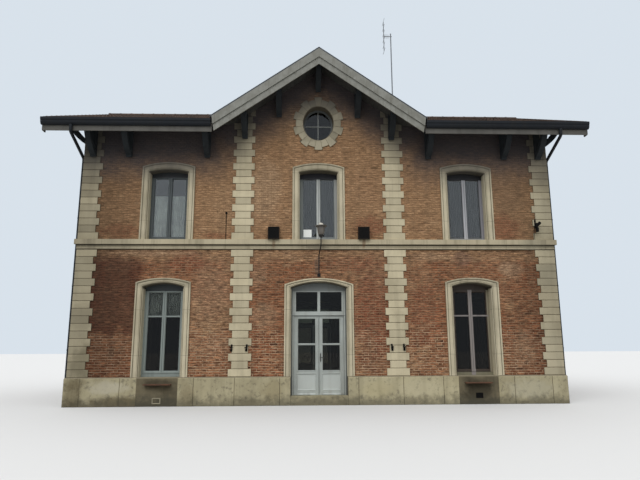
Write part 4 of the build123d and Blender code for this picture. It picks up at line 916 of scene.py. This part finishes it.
dress("door_handle", finish(
    "worn metal", (0.055, 0.050, 0.045), (0.04, 0.036, 0.03), (0.03, 0.025, 0.02), rough=0.45, grain=200,
    relief=0.1, depth=0.001, metal=0.5))


# Floors. Clay tiles on the ground storey and softwood boards on joists above it and under the
# roof. They are seen only through the windows and the open doors.
def board_lines(width, axis=1):
    """Dark gaps between boards or tiles of one width, across one axis."""
    def change(place, colour, lift, mask):
        gap = ramp(maths("PINGPONG", split(place)[axis], width / 2), 0.002, 0.006, 1.0, 0.0) * 0.7
        return mix(gap, colour, (0.02, 0.018, 0.015)), lift - gap
    return change


dress("ground_floor", finish(
    "floor tiles", (0.20, 0.13, 0.09), (0.13, 0.09, 0.07), (0.08, 0.06, 0.05), rough=0.6, change=board_lines(0.20, 0)))
dress("first_floor attic_floor", finish(
    "floor boards", (0.17, 0.12, 0.08), (0.11, 0.08, 0.05), (0.06, 0.05, 0.04), rough=0.7, change=board_lines(0.14)))


# Roof. Interlocking clay tiles on battens over boarded slopes: each tile has a raised side rib
# and a centre rib and laps the one below. Half round ridge tiles are bedded along both ridges.
tile_wide, ridge_half = 0.222, 0.125


def tiles(uphill, pitch, reach, half_run, rows, kept):
    """Clay tiles on one slope, over its solid courses. A tile is its cross section of ribs,
    carried from the foot of its lip at the lower edge up to the next row."""
    columns = 2 * int(round(half_run / tile_wide))
    width, gauge = 2 * half_run / columns, (reach - ridge_half) / rows
    column, row = [part.ravel() for part in np.meshgrid(np.arange(columns), np.arange(rows), indexing="ij")]
    middle, distance = (column + 0.5) * width - half_run, reach - (row + 0.5) * gauge
    column, row = [part[kept(middle, distance)] for part in (column, row)]
    share = np.array([0.0, 0.06, 0.13, 0.43, 0.50, 0.57, 0.94, 1.0])
    rib = np.array([0.010, 0.011, 0.0, 0.0, 0.007, 0.0, 0.0, 0.002])
    along = (column[:, None, None] + 0.99 * share) * width - half_run + 0 * row[:, None, None]
    climb = row[:, None, None] * gauge + np.array([-0.006, -0.006, 0.999 * gauge])[:, None]
    loose = 0.0006 + np.abs(chance.normal(0, 0.0013, (len(row), 1, 1)))
    lift = np.array([0.001, 0.0445, 0.0185])[:, None] + rib * np.array([0.0, 1.0, 1.0])[:, None] + loose
    down = reach - climb + 0 * along
    height = ridge - np.tan(pitch) * down + lift
    points = np.stack([along * uphill[1] - down * uphill[0], -along * uphill[0] - down * uphill[1], height], -1)
    tone = np.clip(chance.normal(0.5, 0.24, len(row)), 0, 1)
    return (points, quads(np.arange(len(row) * 24).reshape(-1, 3, 8))), tone


roof_finish = finish(
    "clay tiles", (0.088, 0.055, 0.041), (0.052, 0.040, 0.034), (0.026, 0.025, 0.022), size=1.3, run=3.0, grain=80,
    toned=0.5, relief=0.5, worn=0.85, shine=0.25)
main_steep, cross_steep = np.tan(main_pitch), np.tan(cross_pitch)
for name, uphill, pitch, other, reach, half_run, rows in (
    ("front_slope", (0, 1), main_pitch, cross_pitch, 4.865, 7.739, 16),
    ("rear_slope", (0, -1), main_pitch, cross_pitch, 4.865, 7.739, 16),
    ("cross_right", (-1, 0), cross_pitch, main_pitch, 3.115, 4.879, 11),
    ("cross_left", (1, 0), cross_pitch, main_pitch, 3.115, 4.879, 11)):
    def kept(middle, distance):
        """Where this slope is higher than the other pair of slopes."""
        return np.tan(pitch) * distance < np.tan(other) * np.abs(middle) + 0.08
    shape, tone = tiles(uphill, pitch, reach, half_run, rows, kept)
    make_piece(f"{name}_tiles", shape, roof_finish, tone=tone)


def ridge_row(half_run, turned, steep, rise, count):
    """Ridge tiles in a row: an arc through both edges and the top, with its sides going down to
    the slopes, carried along the ridge, and a thicker collar at the start of each tile."""
    low = ridge - steep * ridge_half + 0.050
    bulge = ridge + rise - low
    radius = arc_radius(ridge_half, bulge)
    around = np.linspace(-1, 1, 9) * np.arcsin(ridge_half / radius)
    length = 2 * half_run / count
    start = np.arange(count) * length - half_run
    along = (start[:, None] + np.array([0.0, 0.10, 0.13, 1.0]) * length)[:, :, None]
    grow = np.array([0.011, 0.011, 0.003, 0.003])[:, None]
    side = (radius + grow) * np.sin(around)
    height = low + bulge - radius + (radius + grow) * np.cos(around)
    side = np.concatenate([side[:, :1], side, side[:, -1:]], 1)
    foot = low - 0.030 + 0 * grow
    height = np.concatenate([foot, height, foot], 1)
    along, side, height = np.broadcast_arrays(along, side[None], height[None])
    points = np.stack([-side, along, height] if turned else [along, side, height], -1).reshape(-1, 3)
    return points, quads(np.arange(count * 44).reshape(count, 4, 11), other_way)


shape = gathered([ridge_row(7.738, False, main_steep, 0.070, 38), ridge_row(4.878, True, cross_steep, 0.060, 24)])
make_piece("ridge_row_tiles", shape, roof_finish, tone=chance.normal(0.5, 0.2, 38 + 24))


def pale_verge(place, colour, lift, mask):
    """Zinc on the gable edges is dark; the flashings at the two ends of the roof are pale."""
    return mix(abs(split(place)[0]) > 7.6, colour, (0.20, 0.23, 0.24)), lift


dress("verge_flashings", finish(
    "zinc flashing", (0.045, 0.052, 0.060), (0.03, 0.035, 0.04), (0.05, 0.05, 0.05), rough=0.5, relief=0.1,
    depth=0.001, metal=0.2, change=pale_verge))
dress("main_roof_left main_roof_right front_gable_roof rear_gable_roof", finish(
    "soffit boards", (0.085, 0.085, 0.08), (0.06, 0.06, 0.055), (0.04, 0.04, 0.035), rough=0.6,
    change=board_lines(0.12, 0)))
dress("ridge_tiles", roof_finish)


# Edges of the roof. Painted softwood fascias and gable boards, nailed to the rafters' ends,
# zinc gutters and downpipes, and timber brackets that carry the wide eaves.
dress("gable_bargeboards", finish(
    "painted boards", (0.27, 0.275, 0.25), (0.19, 0.19, 0.165), (0.12, 0.115, 0.09), rough=0.55, size=4, run=14,
    grain=110, relief=0.2, depth=0.002, worn=0.8, streaked=0.4))
dress("eaves_fascias verge_boards", finish(
    "fascia paint", (0.125, 0.12, 0.108), (0.08, 0.078, 0.070), (0.05, 0.048, 0.042), rough=0.6, grain=110,
    relief=0.2, depth=0.002))
dress("gutters downpipes", finish(
    "weathered zinc", (0.013, 0.016, 0.021), (0.009, 0.011, 0.014), (0.018, 0.018, 0.018), rough=0.65, grain=120,
    relief=0.1, depth=0.001, shine=0.2))
dress("roof_brackets", finish(
    "bracket paint", (0.034, 0.040, 0.045), (0.024, 0.029, 0.033), (0.018, 0.019, 0.021), rough=0.75, grain=90,
    relief=0.25, depth=0.002, shine=0.15))


# Fittings. Sheet metal boxes and a cast lamp screwed to the front, steel ledges under the ground
# windows, and an aluminium aerial clamped to the ridge.
black_finish = finish("black metal", (0.006, 0.006, 0.006), (0.008, 0.007, 0.007), (0.013, 0.010, 0.008), shine=0.1)
dress("wall_boxes", black_finish)


def lamp_parts(place, colour, lift, mask):
    """A black arm, a grey ribbed body and a white enamelled top."""
    height = split(place)[2]
    colour = mix(ramp(height, 4.70, 4.72), (0.012, 0.011, 0.010), colour)
    return mix(ramp(height, 4.985, 4.995), colour, (0.62, 0.60, 0.53)), lift


dress("door_lamp", finish(
    "lamp metal", (0.20, 0.185, 0.165), (0.10, 0.09, 0.08), (0.07, 0.05, 0.035), rough=0.5, size=9, change=lamp_parts))
dress("window_ledges", finish(
    "rusty steel", (0.14, 0.065, 0.035), (0.08, 0.045, 0.03), (0.05, 0.035, 0.03), rough=0.8, size=6.0, grain=150))
dress("tv_aerial", finish(
    "dull aluminium", (0.20, 0.21, 0.22), (0.13, 0.135, 0.14), (0.09, 0.09, 0.09), rough=0.4, metal=0.7))


# Small fixings on the front. Cut off lamp brackets on the piers, a conduit and a camera bracket,
# a front rim on each wall box, vents in the aprons, and a blank card on a window's glass.
def box_at(left, right, low, high, back, face, edge=0.003):
    """A box on the front wall, from one height off it to another, with a small chamfer."""
    return stepped("front", [(left, right, low, high)], [(0, back), (0, face - edge), (edge, face)])


def front_rod(path, radius, sides=8):
    """A round rod on the front wall. Each place is along the wall, out from it, and up."""
    return round_rod(on_wall("front", *np.transpose(path)), radius, sides)


stubs = []
for middle, side in ((-2.454, 1), (-2.037, 1), (2.056, -1), (2.396, -1)):
    stubs += [
        front_rod([(middle, 0.028, 1.475), (middle, 0.050, 1.50), (middle + 0.012 * side, 0.070, 1.56),
                   (middle + 0.016 * side, 0.055, 1.65)], 0.026),
        front_rod([(middle, 0.050, 1.555), (middle - 0.045 * side, 0.050, 1.575)], 0.014),
        box_at(middle - 0.030, middle + 0.030, 1.470, 1.530, 0.022, 0.060)]
conduit = [front_rod([(-2.697, 0.012, 4.640), (-2.697, 0.012, 5.45)], 0.010),
           box_at(-2.722, -2.672, 5.40, 5.46, 0.0, 0.030)]
watcher = [
    box_at(6.390, 6.470, 5.00, 5.16, 0.018, 0.045),
    front_rod([(6.430, 0.040, 5.10), (6.430, 0.150, 5.06)], 0.018),
    front_rod([(6.385, 0.150, 5.00), (6.420, 0.160, 5.06), (6.510, 0.165, 5.14)], 0.045, 12),
    front_rod([(6.420, 0.150, 4.865), (6.425, 0.155, 4.99)], 0.040, 12),
    front_rod([(6.410, 0.045, 5.17), (6.410, 0.045, 5.26)], 0.024),
    front_rod([(6.372, 0.030, 4.640), (6.372, 0.030, 4.95), (6.400, 0.040, 5.04)], 0.008)]
for name, parts in (("bracket_stubs", stubs), ("conduit", conduit), ("camera", watcher)):
    make_piece(f"front_{name}", gathered(parts), black_finish)

rim_finish = finish("rim metal", (0.035, 0.026, 0.02), (0.02, 0.016, 0.013), (0.012, 0.01, 0.01), rough=0.8, shine=0.1)
vent_finish = finish("vent frame", (0.34, 0.31, 0.22), (0.22, 0.20, 0.15), (0.12, 0.11, 0.08), rough=0.8)
card_finish = finish("blank card", (0.95, 0.98, 0.97), (0.90, 0.95, 0.94), (0.8, 0.85, 0.84), rough=0.7, streaked=0.1,
                     relief=0.05, depth=0.001)
rims = stepped("front", [(-1.475, -1.145, 4.635, 4.995), (1.145, 1.475, 4.635, 4.995)],
               [(0.0, 0.168), (0.0, 0.1745), (0.012, 0.1745), (0.016, 0.1705)], closed=False)
left_vent = stepped("front", [(-4.562, -4.330, 0.07, 0.23)], [(0, 0.068), (0, 0.082), (0.022, 0.082), (0.026, 0.070)],
                    closed=False)
slats = [(4.362, 4.533, low, low + 0.030) for low in (0.180, 0.222, 0.264)]
right_vent = gathered([
    stepped("front", [(4.349, 4.546, 0.17, 0.31)], [(0, 0.068), (0, 0.079), (0.010, 0.079), (0.012, 0.073)]),
    stepped("front", slats, [(0, 0.072), (0.004, 0.081), (0.012, 0.081)])])
card = stepped("front", [(-0.445, -0.205, 4.755, 5.000)], [(0, -0.2818), (0, -0.2800)])
for name, shape, material, slot in (
    ("box_rims", rims, rim_finish, "black_metal"), ("left_vent", left_vent, vent_finish, "plinth_stone"),
    ("right_vent", right_vent, black_finish, "black_metal"), ("window_card", card, card_finish, "window_paint")):
    make_piece(f"front_{name}", shape, material)
